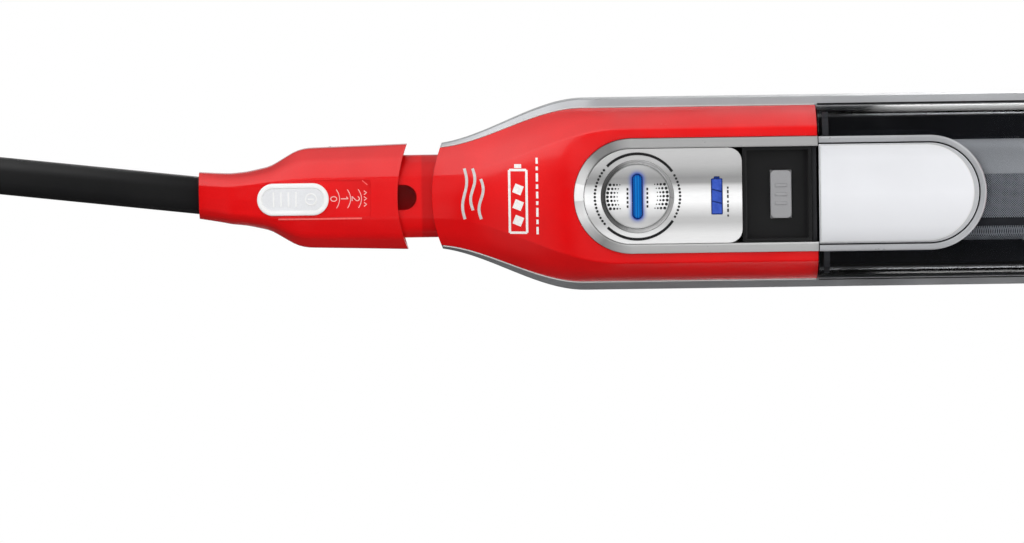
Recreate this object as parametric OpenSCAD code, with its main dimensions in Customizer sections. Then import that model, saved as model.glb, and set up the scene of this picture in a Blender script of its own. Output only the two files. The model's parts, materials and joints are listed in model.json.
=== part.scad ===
// Cordless stick vacuum: floor head, upright body with a clear dust container, and a push-on handle.
// Millimetres. +Z up, -Y is the front with the display. The origin is on the floor under the body's axis.

/* [Body] */
// Width over the two silver side rails
body_w = 128; // [124:1:132]
// Height of the shoulder where the handle meets the body
shoulder_z = 600; // [596:1:604]
// Height of the body's lower end
body_base_z = 128; // [126:1:130]
// Distance of the front face from the body's axis
body_front = 54; // [53:1:56]
// Distance of the back face from the body's axis
body_back = 50; // [49:1:52]
// Thickness of the moulded shells
wall = 2.5; // [2.2:0.1:2.6]

/* [Display panel] */
// Outer radius of the panel frame's round ends
frame_r = 38.3; // [37:0.1:39]
// Width of the frame's bevel
frame_bevel = 6.3; // [6:0.1:6.6]
// Height of the sensor display's centre
sensor_z = 467.8; // [466:0.2:470]

/* [Dust container] */
// Height of the joint between body and container
split_z = 347; // [346:1:348]
// Height of the container's floor
container_base_z = 152; // [150:1:154]
// Wall of the clear container
container_wall = 2; // [1.8:0.1:2.2]

/* [Handle] */
// Gap left between handle and shoulder as fitted so far
handle_gap = 23; // [22:0.5:24]
// Sideways lean of the black tube, in degrees
tube_lean = 6.2; // [0:0.1:7]
// Backward lean of the black tube, in degrees
tube_back = 6; // [5:0.5:6.5]
// Length of the straight black tube
tube_len = 225; // [215:5:235]

/* [Floor head] */
// Width of the floor head
head_w = 272; // [268:2:280]
// Distance of the head's front edge from the body's axis
head_front = 88; // [87:1:89]
// Distance of the head's rear edge from the body's axis
head_rear = 36; // [35:0.5:36]
// Depth of the tilt and swivel axes behind the body's axis
neck_y = 20; // [19.8:0.1:20.2]
// Height of the tilt axis
pivot_z = 34; // [34:0.5:35]

/* [Hidden] */
$fn = 64;

// Running clearance between parts that move on each other, and a small gap between fixed parts
run = 0.05;
gap = 0.3;
// Rows of sections along the body: close together where the outline curves
body_steps = [128, 140, 155, 175, 200, 340, 500, 510, 520, 530, 540, 550, 560, 570, 580, 590, 600];
// Width of the silver rail that shows beside the front shell, and how much it narrows towards the shoulder
rail_w = 5.7;
rail_narrowing = 3.4;
// How much the body's half width shrinks at the shoulder and at the lower end
shoulder_taper = 29.3;
base_taper = 20;
// Centre of the panel frame's upper round end, and lower end of the container's silver rim
frame_z = sensor_z + 3.8;
rim_z = container_base_z + 83;
// Depth of the joint line between front and rear shell, in front of the body's axis
parting_depth = 18;

function clamp01(t) = min(1, max(0, t));
function smooth(t) = let (u = clamp01(t)) u * u * (3 - 2 * u);
function mix(a, b, t) = a + (b - a) * t;

// Outline of the body as heights go: half widths and depths
function top_t(z) = clamp01((z - shoulder_z + 100) / 100);
function base_t(z) = clamp01((200 - z) / 72);
function rail_half(z) =
    body_w / 2 - shoulder_taper * smooth((top_t(z) - 0.03) / 1.05) - base_taper * pow(base_t(z), 1.6);
function shell_half(z) = rail_half(z) - rail_w + rail_narrowing * pow(top_t(z), 1.4);
function crease_half(z) = 45 - 30.6 * smooth((z - shoulder_z + 120) / 120) - 16 * base_t(z);
function front_y(z) = -body_front + 29 * smooth((z - shoulder_z + 105) / 105) + 16 * base_t(z);
function crease_y(z) = front_y(z) + 6 - 4.5 * top_t(z) - 2 * base_t(z);
function rim_y(z) = -parting_depth + 10 * top_t(z) + 4 * base_t(z);
function back_y(z) = body_back - 26 * smooth((z - shoulder_z + 120) / 120) - 8 * base_t(z);

// A solid through rings of points that run anticlockwise seen from above, lowest ring first.
// Each end is closed by a fan about the middle of its ring.
function middle(ring) = [for (k = [0 : 2]) [for (p = ring) p[k]] * [for (p = ring) 1] / len(ring)];
module loft(rings) {
    n = len(rings[0]);
    m = len(rings);
    polyhedron(
        points = concat([for (r = rings) each r], [middle(rings[0]), middle(rings[m - 1])]),
        faces = [for (i = [0 : n - 1]) let (k = (i + 1) % n)
            each concat(
                [[m * n, i, k]],
                [for (j = [0 : m - 2]) each [[j * n + i, (j + 1) * n + i, (j + 1) * n + k],
                                             [j * n + i, (j + 1) * n + k, j * n + k]]],
                [[m * n + 1, (m - 1) * n + k, (m - 1) * n + i]])],
        convexity = 6);
}

// Section of the front shell: side walls up to a crease, and a crowned face between the creases
function front_ring(z, inset, back) =
    let (hw = shell_half(z) - inset, cx = crease_half(z) - 0.6 * inset, cy = crease_y(z) + inset,
         fy = front_y(z) + inset)
    concat(
        [[-hw, back, z], [-hw, rim_y(z), z], [-mix(cx, hw, 0.62), mix(cy, rim_y(z), 0.45), z]],
        [for (i = [-4 : 4]) [cx * i / 4, fy + (cy - fy) * pow(i / 4, 2), z]],
        [[mix(cx, hw, 0.62), mix(cy, rim_y(z), 0.45), z], [hw, rim_y(z), z], [hw, back, z]]);

// Section of the rear housing, from its flat rim round the back
function rear_ring(z, inset, rim) =
    let (hw = rail_half(z) - inset, by = back_y(z) - inset, r = 20 - 6 * top_t(z) - inset)
    concat(
        [[-hw, rim, z], [hw, rim, z]],
        [for (a = [0 : 22.5 : 90]) [hw - r + r * cos(a), by - r + r * sin(a), z]],
        [for (a = [90 : 22.5 : 180]) [r - hw + r * cos(a), by - r + r * sin(a), z]]);

// Section of the clear container: a rounder front than the red shell's
tongue = 3.2;
function container_section(z, inset, back) =
    let (hw = shell_half(z) - inset, fy = front_y(z) + inset, ry = rim_y(z) - inset)
    concat(
        [[-(hw - tongue), back], [-(hw - tongue), ry]],
        [for (a = [0 : 12 : 180]) [-hw * sign(cos(a)) * pow(abs(cos(a)), 0.55),
                                   ry - 0.8 + (fy - ry + 0.8) * pow(sin(a), 0.55)]],
        [[hw - tongue, ry], [hw - tongue, back]]);

// Section of neck and handle housing: flat front and back, bevelled sides
function neck_ring(z, hw, fy, by, cx) =
    [[-hw, -0.35 * by, z], [-mix(cx, hw, 0.6), mix(fy, 0, 0.22), z], [-cx, fy + 0.6, z], [0, fy, z],
     [cx, fy + 0.6, z], [mix(cx, hw, 0.6), mix(fy, 0, 0.22), z], [hw, -0.35 * by, z],
     [hw, 0.35 * by, z], [mix(cx, hw, 0.6), mix(by, 0, 0.22), z], [cx, by, z], [-cx, by, z],
     [-mix(cx, hw, 0.6), mix(by, 0, 0.22), z], [-hw, 0.35 * by, z]];

function steps_between(z0, z1) = concat([z0], [for (z = body_steps) if (z > z0 + 3 && z < z1 - 3) z], [z1]);

module front_body(inset, z0, z1, back = 0) {
    steps = steps_between(z0, z1);
    loft([for (z = steps) front_ring(z, inset, rim_y(z) + back)]);
}

module rear_body(inset, z0, z1, rim = 0) {
    steps = steps_between(z0, z1);
    loft([for (z = steps) rear_ring(z, inset, rim_y(z) + rim)]);
}

// Cylinders and discs along the other axes, centred on their own middle
module along_x(r, l) rotate([0, 90, 0]) cylinder(r = r, h = l, center = true);
module along_y(r, l) rotate([90, 0, 0]) cylinder(r = r, h = l, center = true);

// A flat plate lying across Y, with its outline drawn in X and Z
module plate_xz(y0, y1) translate([0, y1, 0]) rotate([90, 0, 0]) linear_extrude(y1 - y0) children();

// Outline of a slot with round ends, from height z0 to z1
module slot_2d(r, z0, z1) {
    translate([0, z0 + r]) circle(r);
    translate([0, z1 - r]) circle(r);
    translate([-r, z0 + r]) square([2 * r, z1 - z0 - 2 * r]);
}

// Rounded rectangle
module rounded_2d(w, d, r) {
    square([w - 2 * r, d], center = true);
    square([w, d - 2 * r], center = true);
    for (x = [-1, 1]) for (y = [-1, 1])
        translate([x * (w / 2 - r), y * (d / 2 - r)]) circle(r);
}

// ---------------------------------------------------------------- body shells

// Region above the shoulder's arched edge
shoulder_rise = 5;
shoulder_half = 30.5;
module above_shoulder(extra = 0) {
    r = (shoulder_half * shoulder_half + shoulder_rise * shoulder_rise) / (2 * shoulder_rise);
    difference() {
        translate([-60, -60, shoulder_z - 6]) cube([120, 120, 40]);
        translate([0, 0, shoulder_z + shoulder_rise + extra - r]) along_y(r, 130, $fn = 128);
    }
}

module neck_hole(clear) {
    loft([for (z = [shoulder_z - 30, shoulder_z + 20])
        neck_ring(z, 27.7 + clear, -20 - clear, 18 + clear, 13.5 + clear)]);
}

exhaust_z = 522;
module exhaust_window(extra) translate([0, body_back, exhaust_z]) cube([46 + extra, 50, 44 + extra], center = true);

module rear_housing() color("silver") difference() {
    rear_body(0, body_base_z + 14, shoulder_z + shoulder_rise);
    // the deep hollow, and the narrower mouth between the rails
    rear_body(wall, body_base_z + 10, shoulder_z - 6, 6);
    loft([for (z = steps_between(body_base_z + 10, shoulder_z - 6)) let (hw = shell_half(z) - wall, ry = rim_y(z))
        [[-hw, ry - 1, z], [hw, ry - 1, z], [hw, ry + 8, z], [-hw, ry + 8, z]]]);
    above_shoulder();
    neck_hole(gap);
    // exhaust window, charging socket and screw seats
    exhaust_window(0.6);
    translate([0, body_back, 228]) along_y(6.5, 20);
    for (p = screw_spots) translate([p[0], body_back - 3, p[1]]) {
        along_y(1.6, 12);
        translate([0, 4.2, 0]) along_y(3.4, 5);
    }
}
screw_spots = [[-30, 320], [30, 320], [-30, 200], [30, 200], [-30, 480], [30, 480]];

module front_shell() color("red") difference() {
    front_body(0, split_z + gap, shoulder_z + shoulder_rise);
    front_body(wall, split_z - 5, shoulder_z - 4, 6);
    above_shoulder();
    neck_hole(gap);
    plate_xz(-80, -20) slot_2d(frame_r + gap, split_z - 90, frame_z + frame_r + gap + 1.5);
}

module neck_spigot() color("red") difference() {
    union() {
        loft([for (z = [shoulder_z - 22, shoulder_z + 65]) neck_ring(z, 27.7, -20, 18, 13.5)]);
        // the flange that the two shells clamp
        loft([for (z = [shoulder_z - 24, shoulder_z - 18]) neck_ring(z, 31, -23, 20, 15)]);
    }
    loft([for (z = [shoulder_z - 30, shoulder_z + 80]) neck_ring(z, 25, -17.3, 15.3, 12)]);
    // keyway in the front wall: round lower end, open at the top
    plate_xz(-40, -10) union() {
        translate([0, shoulder_z + 23.7]) circle(8.4);
        translate([-8.4, shoulder_z + 23.7]) square([16.8, 60]);
    }
    // notch that the release lever's nose drops into once the handle is home
    translate([-6.6, 16.6, handle_z - handle_gap + 30]) cube([13.2, 6, 6.6]);
}

module bulkhead() color("dimgray") difference() {
    union() {
        front_body(wall + gap, split_z + 1, split_z + 4, 7);
        translate([-49, -16, split_z + 1]) cube([98, 58, 3]);
        translate([0, filter_y, split_z + 1]) cylinder(r = 16, h = 5);
        // wall that the button's springs push against
        translate([-17, spring_back, split_z + 1]) cube([34, 1.5, button_z - split_z + 6]);
    }
    translate([0, filter_y, split_z - 5]) cylinder(r = air_r, h = 30);
    translate([-frame_r - 0.5, -80, split_z]) cube([2 * frame_r + 1, 80 + frame_back + 0.5, 20]);
}
air_r = 12;

module bottom_cap() color("dimgray") difference() {
    union() {
        difference() {
            union() {
                front_body(0, body_base_z, container_base_z - 1.5);
                rear_body(0, body_base_z, body_base_z + 13.7, -1);
                rear_body(wall + gap, body_base_z + 12, container_base_z - 1.5, 6);
            }
            front_body(wall, body_base_z + 3, container_base_z - 4, 10);
            rear_body(wall + gap + 2, body_base_z + 3, container_base_z + 5, -2);
        }
        translate([0, neck_y, body_base_z - 8]) cylinder(r = 20.5, h = 30);
    }
    translate([0, neck_y, body_base_z - 20]) cylinder(r = 18.3, h = 60);
}

// ---------------------------------------------------------------- display panel

module frame_shape(r, z0, z1, y0, y1) {
    plate_xz(y0, y1) slot_2d(r, z0, z1);
}

frame_back = -46;
bevel_steps = 4;
module panel_frame() color("silver") difference() {
    intersection() {
        union() {
            frame_shape(frame_r, frame_z - 300, frame_z + frame_r, -52, frame_back);
            // bevel that rises to the inner edge
            for (k = [1 : bevel_steps - 1]) {
                inward = k * frame_bevel / bevel_steps;
                frame_shape(frame_r - inward, frame_z - 300, frame_z + frame_r - inward, -52 - k * 1.3, frame_back);
            }
        }
        translate([-60, -70, split_z + gap]) cube([120, 40, 200]);
    }
    plate_xz(-80, -20) slot_2d(frame_r - frame_bevel, frame_z - 300, frame_z + frame_r - frame_bevel);
}

module control_panel() color("lightgray") difference() {
    intersection() {
        frame_shape(frame_r - frame_bevel - gap, frame_z - 300, frame_z + frame_r - frame_bevel - gap, -57, -54);
        translate([-60, -70, 398]) cube([120, 40, 200]);
    }
    translate([0, -56, sensor_z]) along_y(24.5, 20);
    translate([-12.9, -70, 411]) cube([25.8, 30, 7.8]);
}

module sensor_ring() color("gray") difference() {
    translate([0, -55.6, sensor_z]) along_y(24.3, 3.2);
    translate([0, -55.6, sensor_z]) along_y(21.6, 20);
}

module sensor_disc() color("lightgray") difference() {
    translate([0, -55, sensor_z]) along_y(21.4, 2);
    plate_xz(-70, -40) translate([0, sensor_z]) rotate(90) translate([0, -15.3])
        slot_2d(3.6, 0, 30.6);
}

module sensor_light() color("dodgerblue")
    plate_xz(-57, -54) translate([0, sensor_z]) rotate(90) translate([0, -15]) slot_2d(3.3, 0, 30);

module battery_light() color("royalblue") union() {
    translate([-12.4, -57.3, 411.3]) cube([23.6, 3.2, 7.2]);
    translate([11.2, -57.3, 413]) cube([1.4, 3.2, 3.8]);
}

module display_board() color("green") union() {
    translate([-28, -51, 402]) cube([56, 1.6, 82]);
    for (x = [-9, -3, 3, 9]) translate([x - 1.2, -53.2, sensor_z - 1.2]) cube([2.4, 2.2, 2.4]);
    for (x = [-8, 0, 8]) translate([x - 1.2, -53.2, 413.6]) cube([2.4, 2.2, 2.4]);
    translate([-12, -49.4, 440]) cube([14, 1.6, 14]);
}

well_back = -47;
button_z = 372;
module finger_well() color("black") difference() {
    intersection() {
        frame_shape(frame_r - frame_bevel - gap, frame_z - 300, frame_z + 20, -54, well_back);
        translate([-60, -70, split_z + 4.5]) cube([120, 40, 397.7 - split_z - 4.5]);
    }
    // hollow for a finger, and the button's window
    intersection() {
        frame_shape(frame_r - frame_bevel - 2.5, frame_z - 300, frame_z + 20, -60, well_back - 1.5);
        translate([-60, -70, split_z + 7]) cube([120, 40, 388 - split_z]);
    }
    translate([-16.3, -60, button_z - 7.3]) cube([32.6, 30, 14.6]);
}

module container_button() color("gray") union() {
    translate([-16, well_back - 5, button_z - 7]) cube([32, 6, 14]);
    translate([-18, well_back + gap, button_z - 9]) cube([36, 1.5, 18]);
}

spring_front = well_back + 2;
spring_back = spring_front + 5.2;
module button_spring() color("silver")
    for (x = [-10, 10]) translate([x, spring_front + 2.5, button_z]) difference() {
        along_y(3.2, 5);
        along_y(2.4, 6);
    }

// ---------------------------------------------------------------- dust container

container_top_z = split_z - gap;
container_back = -1;
filter_y = -25;
// The filter is a bar with round ends: end radius, and distance of the ends' centres from the middle
filter_r = 20.6;
filter_spread = 12.9;
module filter_bar(r, z0, z1) translate([0, filter_y, z0]) linear_extrude(z1 - z0) {
    for (side = [-1, 1]) translate([side * filter_spread, 0]) circle(r);
    square([2 * filter_spread, 2 * r], center = true);
}

module container_body(inset, z0, z1, back) {
    steps = steps_between(z0, z1);
    loft([for (z = steps) [for (p = container_section(z, inset, back)) [p[0], p[1], z]]]);
}

inlet_z = 186;
module dust_container() color([0.2, 0.22, 0.25, 0.6]) difference() {
    union() {
        difference() {
            union() {
                container_body(0, container_base_z, container_top_z, container_back);
                // flat seat for the silver frame
                intersection() {
                    frame_shape(frame_r, rim_z, frame_z + 90, -body_front, -50);
                    translate([-60, -70, 200]) cube([120, 40, container_top_z - 200]);
                }
            }
            container_body(container_wall, container_base_z + container_wall, container_top_z + 5,
                           container_back - container_wall);
        }
        // lugs that carry the flap's pins
        for (s = [-1, 1]) translate([s * 17 - 1.5, -6.4, flap_z - 3]) cube([3, 4.4, 6]);
    }
    translate([0, 0, inlet_z]) along_y(13, 12);
    translate([0, flap_y, flap_z]) along_x(0.95, 60);
}

module container_rim(r0, r1, y0, y1) difference() {
    intersection() {
        frame_shape(r0, rim_z, frame_z + 90, y0, y1);
        translate([-60, -70, 200]) cube([120, 40, container_top_z - 200]);
    }
    plate_xz(-80, -20) slot_2d(r1, rim_z + r0 - r1, frame_z + 90);
}

module container_frame() color("silver") union() {
    container_rim(frame_r, frame_r - 4, -57.3, body_rest_y);
    container_rim(frame_r - 3.9, frame_r - 5, -55, body_rest_y);
}
body_rest_y = -body_front - 0.02;

module container_pad() color("gainsboro")
    intersection() {
        union() {
            frame_shape(frame_r - 5.2, rim_z + 5.2, frame_z + 90, -56.6, body_rest_y);
            frame_shape(frame_r - 7.4, rim_z + 7.4, frame_z + 90, -57.8, body_rest_y);
        }
        translate([-60, -70, 200]) cube([120, 40, container_top_z - 200]);
    }

module filter_lid() color("dimgray") difference() {
    union() {
        translate([0, 0, container_top_z - 7]) linear_extrude(4)
            polygon(container_section(container_top_z, container_wall + gap, container_back - container_wall - gap));
        filter_bar(filter_r, container_top_z - 12, container_top_z - 6);
    }
    translate([0, filter_y, container_top_z - 20]) cylinder(r = air_r, h = 30);
}

module filter_seal() color("black") translate([0, filter_y, container_top_z - 3]) difference() {
    cylinder(r = 17, h = 2.2);
    translate([0, 0, -1]) cylinder(r = 14, h = 5);
}

filter_base_z = 208;
module filter_mesh() color("gray") difference() {
    filter_bar(filter_r, filter_base_z, container_top_z - 12);
    filter_bar(filter_r - 1, filter_base_z + 2.4, container_top_z);
}

// Folded paper round the filter's core: ridges and folds take turns round both ends and along the sides
end_folds = 24;
side_folds = 6;
function fold_r(k) = filter_r - (k % 2 == 0 ? 1.8 : 6.1);
function folds(side) = concat(
    [for (k = [0 : end_folds]) let (a = k * 180 / end_folds)
        side * [filter_spread + fold_r(k) * sin(a), -fold_r(k) * cos(a)]],
    [for (k = [1 : side_folds - 1]) side * [filter_spread * (1 - 2 * k / side_folds), fold_r(k)]]);
module pleated_filter() color("whitesmoke") difference() {
    translate([0, filter_y, filter_base_z + 4]) linear_extrude(container_top_z - 16.4 - filter_base_z)
        polygon(concat(folds(1), folds(-1)));
    filter_bar(filter_r - 8.6, filter_base_z + 7, container_top_z);
}

flap_z = 202;
flap_y = -4.6;
module inlet_flap() color("black") union() {
    translate([-15, flap_y - 0.8, 170]) cube([30, 1.2, flap_z - 170]);
    translate([0, flap_y, flap_z]) along_x(1.4, 30.6);
    translate([0, flap_y, flap_z]) along_x(0.9, 36.4);
}

// ---------------------------------------------------------------- inside the body

module suction_duct() color("dimgray") difference() {
    union() {
        translate([0, neck_y, body_base_z + 25]) cylinder(r = 18, h = 47);
        translate([0, neck_y / 2, 186]) along_y(16, neck_y);
        translate([0, neck_y, 186]) sphere(18);
    }
    translate([0, neck_y, body_base_z]) cylinder(r = 15.6, h = 58);
    translate([0, neck_y / 2 - 8, 186]) along_y(13.5, neck_y + 16);
    translate([0, neck_y, 186]) sphere(15.6);
}

motor_y = -14;
motor_z = 398;
motor_r = 28;
module motor_can() color("silver") translate([0, motor_y, motor_z]) difference() {
    cylinder(r = motor_r, h = 84);
    translate([0, 0, -1]) cylinder(r = motor_r - 2, h = 78);
    cylinder(r = 5 + run, h = 200);
    for (a = [0 : 30 : 330]) rotate(a) translate([18, 0, 70]) cylinder(r = 3, h = 20, $fn = 24);
}

// Rubber boot: an oval air way from the container's outlet, opening into a cup for the motor
module air_way(r, z0, z1) {
    translate([0, filter_y, z0]) cylinder(r = r, h = z1 - z0);
    translate([0, motor_y, z0]) cylinder(r = r, h = z1 - z0);
    translate([-r, filter_y, z0]) cube([2 * r, motor_y - filter_y, z1 - z0]);
}

boot_z = split_z + 6.3;
cup_z = motor_z - 14;
module motor_mount() color("black") difference() {
    union() {
        air_way(air_r + 1.2, boot_z, cup_z + 3);
        translate([0, motor_y, cup_z]) cylinder(r = motor_r + 3, h = 22);
    }
    air_way(air_r, boot_z - 1, cup_z + 4);
    translate([0, motor_y, cup_z + 3]) cylinder(r = motor_r - 3, h = 40);
    translate([0, motor_y, motor_z - gap]) cylinder(r = motor_r + gap, h = 40);
}

fan_blades = 9;
module fan_rotor() color("gainsboro") translate([0, motor_y, motor_z]) union() {
    translate([0, 0, 2]) cylinder(r = 24, h = 1.5);
    for (i = [0 : fan_blades - 1]) rotate(i * 360 / fan_blades)
        translate([5, -0.6, 3.5]) cube([18, 1.2, 8]);
    translate([0, 0, 11.5]) cylinder(r = 24, h = 1.5);
    cylinder(r = 6, h = 20);
    translate([0, 0, 20]) cylinder(r = 16, h = 46);
    cylinder(r = 5, h = 90);
}

battery_z = 360;
battery_y = 30.2;
cell_pitch = 19;
module battery_case() color("dimgray") difference() {
    translate([-36, battery_y - 11.3, battery_z - 4]) cube([72, 22.6, 7 * cell_pitch + 6]);
    for (i = [0 : 6]) translate([0, battery_y, battery_z + 8.5 + i * cell_pitch]) along_x(9.4, 66.4);
}

module battery_cells() color("seagreen")
    for (i = [0 : 6]) translate([0, battery_y, battery_z + 8.5 + i * cell_pitch]) {
        along_x(9.1, 64);
        translate([32.5, 0, 0]) along_x(3, 1.2);
    }

module control_board() color("green") union() {
    translate([-36, 8, 236]) cube([72, 1.6, 96]);
    for (x = [-22, 0, 22]) translate([x, 9.6, 310]) rotate([-90, 0, 0]) cylinder(r = 6, h = 16);
    translate([-28, 9.6, 250]) cube([16, 12, 30]);
    translate([4, 9.6, 254]) cube([20, 3, 20]);
}

slot_pitch = 5;
module exhaust_grille() color("dimgray") difference() {
    intersection() {
        rear_body(0.4, body_base_z + 20, shoulder_z);
        exhaust_window(0);
    }
    rear_body(3.4, body_base_z + 10, shoulder_z + 10);
    for (i = [-3.5 : 3.5]) translate([0, body_back, exhaust_z + i * slot_pitch]) cube([38, 60, 2.4], center = true);
}

exhaust_slope = atan((back_y(exhaust_z - 22) - back_y(exhaust_z + 22)) / 44);
module exhaust_filter() color("black")
    translate([0, back_y(exhaust_z) - 8.5, exhaust_z]) rotate([exhaust_slope, 0, 0]) cube([42, 6, 40], center = true);

module charging_socket() color("black") difference() {
    union() {
        translate([0, body_back - 6, 228]) along_y(6.2, 13);
        translate([0, body_back - 8, 228]) along_y(9, 9);
    }
    translate([0, body_back - 3.4, 228]) along_y(3, 12);
}

module housing_screws() color("silver")
    for (p = screw_spots) translate([p[0], body_back - 3, p[1]]) difference() {
        union() {
            translate([0, -1, 0]) along_y(1.5, 8);
            translate([0, 2.6, 0]) along_y(3, 1.6);
        }
        translate([0, 3.4, 0]) along_y(1, 1.4);
    }

// ---------------------------------------------------------------- handle

handle_z = shoulder_z - 1.5 + handle_gap;
housing_steps = [
    // height above the rim, half width, front, back, crease
    [0, 35.3, -28.5, 26.5, 13.6], [30, 34.4, -28, 26, 13.2], [68, 33.4, -27.6, 25, 13], [75, 31.6, -27.3, 24.6, 13],
    [82, 27.5, -27, 24, 12.8], [92, 21.5, -26, 23, 12.4], [108, 18, -23, 21, 10.5], [125, 16.4, -19.5, 20.5, 9],
    [140, 15.6, -17, 21, 8]];
housing_back_sag = 3;

module housing_body() difference() {
    loft([for (s = housing_steps)
        [for (p = neck_ring(handle_z + s[0], s[1], s[2], s[3], s[4]))
            [p[0] + max(0, s[0] - 118) * tan(tube_lean), p[1] + max(0, s[0] - 118) * tan(tube_back), p[2]]]]);
    // arched lower edge, which matches the shoulder
    half = 35.3;
    rise = 6.5;
    r = (half * half + rise * rise) / (2 * rise);
    translate([0, 0, handle_z + rise - r]) along_y(r, 100, $fn = 128);
    // bore for the neck, a flared mouth, and the chamber above
    loft([for (z = [handle_z - 20, handle_z + 69]) neck_ring(z, 28.1, -20.4, 18.4, 13.8)]);
    loft([for (f = [[-20, 4.5], [8, 4.5], [14, 0]])
        neck_ring(handle_z + f[0], 28 + f[1], -20.4 - f[1], 18.4 + f[1], 13.8)]);
    translate([-12, -16, handle_z + 71]) cube([24, 30, 42]);
    in_tube_frame() translate([0, 0, -1]) linear_extrude(60) rounded_2d(25.2, 30.6, 9);
}

// Frame of the black tube: its axis leaves the housing at the two lean angles
tube_base_z = handle_z + 118;
module in_tube_frame() translate([0, 1, tube_base_z]) rotate([-tube_back, tube_lean, 0]) children();

slider_r = 10.8;
slider_travel = 21.7;
slider_end_z = 674;
recess_w = 25;
module slider_recess() {
    translate([-recess_w / 2, -40, 646]) cube([recess_w, 40 - 26.3, 82]);
    translate([-3, -40, slider_end_z + 41 - slider_travel - gap]) cube([6, 40, 31]);
}

module handle_front() color("red") difference() {
    housing_body();
    translate([-60, 0, handle_z - 10]) cube([120, 60, 200]);
    slider_recess();
    for (p = handle_screw_spots) translate([p[0], 0, p[1]]) along_y(1.45, 14);
}

module handle_rear() color("firebrick") difference() {
    housing_body();
    translate([-60, -60 + gap, handle_z - 10]) cube([120, 60, 200]);
    // window for the release lever, and its pivot holes
    translate([-8.3, 10, handle_z + 28]) cube([16.6, 40, 52]);
    translate(lever_pivot) along_x(2 + run, 24);
    for (p = handle_screw_spots) translate([p[0], 0, p[1]]) {
        along_y(1.6, 40);
        translate([0, 16, 0]) along_y(3, 20);
    }
}
handle_screw_spots = [for (x = [-31.4, 31.4]) for (h = [20, 52]) [x, handle_z + h]];

module speed_slider() color("gainsboro") difference() {
    union() {
        plate_xz(-28.9, -26.6) slot_2d(slider_r, slider_end_z, slider_end_z + 48);
        translate([-2.5, -26.7, slider_end_z + 41]) cube([5, 10, 5]);
    }
    plate_xz(-40, -28.1) slot_2d(slider_r - 3.4, slider_end_z + 3.4, slider_end_z + 44.6);
}

module switch_block() color("black") difference() {
    translate([-8, -16, handle_z + 73]) cube([16, 12, 30]);
    translate([-3.2, -20, handle_z + 70]) cube([6.4, 6, 40]);
}

lever_pivot = [0, 23, handle_z + 60];
module release_lever() color("dimgray") difference() {
    union() {
        translate([-7.8, 20.4, handle_z + 31]) cube([15.6, 5, 46]);
        translate([-6, 18.8, handle_z + 31]) cube([12, 3, 5]);
        translate(lever_pivot) along_x(4, 15.6);
        translate(lever_pivot) along_x(2, 23);
    }
    translate(lever_pivot) difference() {
        along_x(4.4, 5);
        along_x(2, 6);
    }
}

module lever_spring() color("silver") translate(lever_pivot) difference() {
    along_x(3.6, 4);
    along_x(2.4, 5);
}

module handle_tube() color("black") in_tube_frame() difference() {
    linear_extrude(tube_len) rounded_2d(24.6, 30, 8.8);
    translate([0, 0, -1]) linear_extrude(tube_len + 2) rounded_2d(20.6, 26, 6.8);
}

// The grip follows an arc that carries on from the tube and bends back
grip_arc_r = 250;
grip_angle = 28;
function grip_point(a) = [grip_arc_r * (1 - cos(a)), tube_len + grip_arc_r * sin(a)];
function grip_ring(a, rx, ry, n = 20) =
    let (p = grip_point(a))
    [for (i = [0 : n - 1]) let (t = i * 360 / n, x = rx * cos(t), v = ry * sin(t))
        [x, p[0] + v * cos(a), p[1] - v * sin(a)]];
// Half depth of the sleeve, with swells for the fingers
function grip_depth(a) = 16.8 + 0.8 * (1 - cos(a * 720 / grip_angle));

module grip_body() color("black") in_tube_frame() union() {
    loft([for (a = [0 : 2.8 : grip_angle]) grip_ring(a, 12.2, 14.4)]);
    translate([0, 0, tube_len - 22]) linear_extrude(22.5) rounded_2d(20.2, 25.6, 6.6);
}

module grip_sleeve() color("dimgray") in_tube_frame() difference() {
    loft([for (a = [2 : 2 : grip_angle]) grip_ring(a, 14.6, grip_depth(a))]);
    loft([for (a = [0 : 2.5 : grip_angle + 2.5]) grip_ring(a, 12.5, 14.7)]);
}

// Rounded end of the grip, with a hole to hang it up by
cap_sweep = 6;
cap_steps = 8;
module grip_cap() color("black") in_tube_frame() difference() {
    loft([for (i = [0 : cap_steps]) let (t = min(i / cap_steps, 0.995), k = sqrt(1 - pow(t, 2.6)))
        grip_ring(grip_angle + gap / 2 + t * cap_sweep, 14.6 * k, 17 * k)]);
    let (p = grip_point(grip_angle + 0.5 * cap_sweep)) translate([0, p[0], p[1]]) along_x(4.5, 40);
}

module handle_screws() color("silver")
    for (p = handle_screw_spots) translate([p[0], 0, p[1]]) {
        translate([0, 1.5, 0]) along_y(1.4, 15);
        translate([0, 7.5, 0]) along_y(2.7, 2.6);
    }

// ---------------------------------------------------------------- floor head

brush_y = -57;
brush_z = 21;
brush_half = 110;
wheel_y = 51.5;
wheel_r = 14;
head_mid_y = (head_rear - head_front) / 2;
head_d = head_front + head_rear;
base_top = 20;

module head_outline(inset, r = 18) translate([0, head_mid_y]) rounded_2d(head_w - 2 * inset, head_d - 2 * inset, r);

// Space that the tilting yoke sweeps at the back of the head
module yoke_bay(x = 29.5) translate([-x, -3, -5]) cube([2 * x, 80, 100]);

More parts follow.
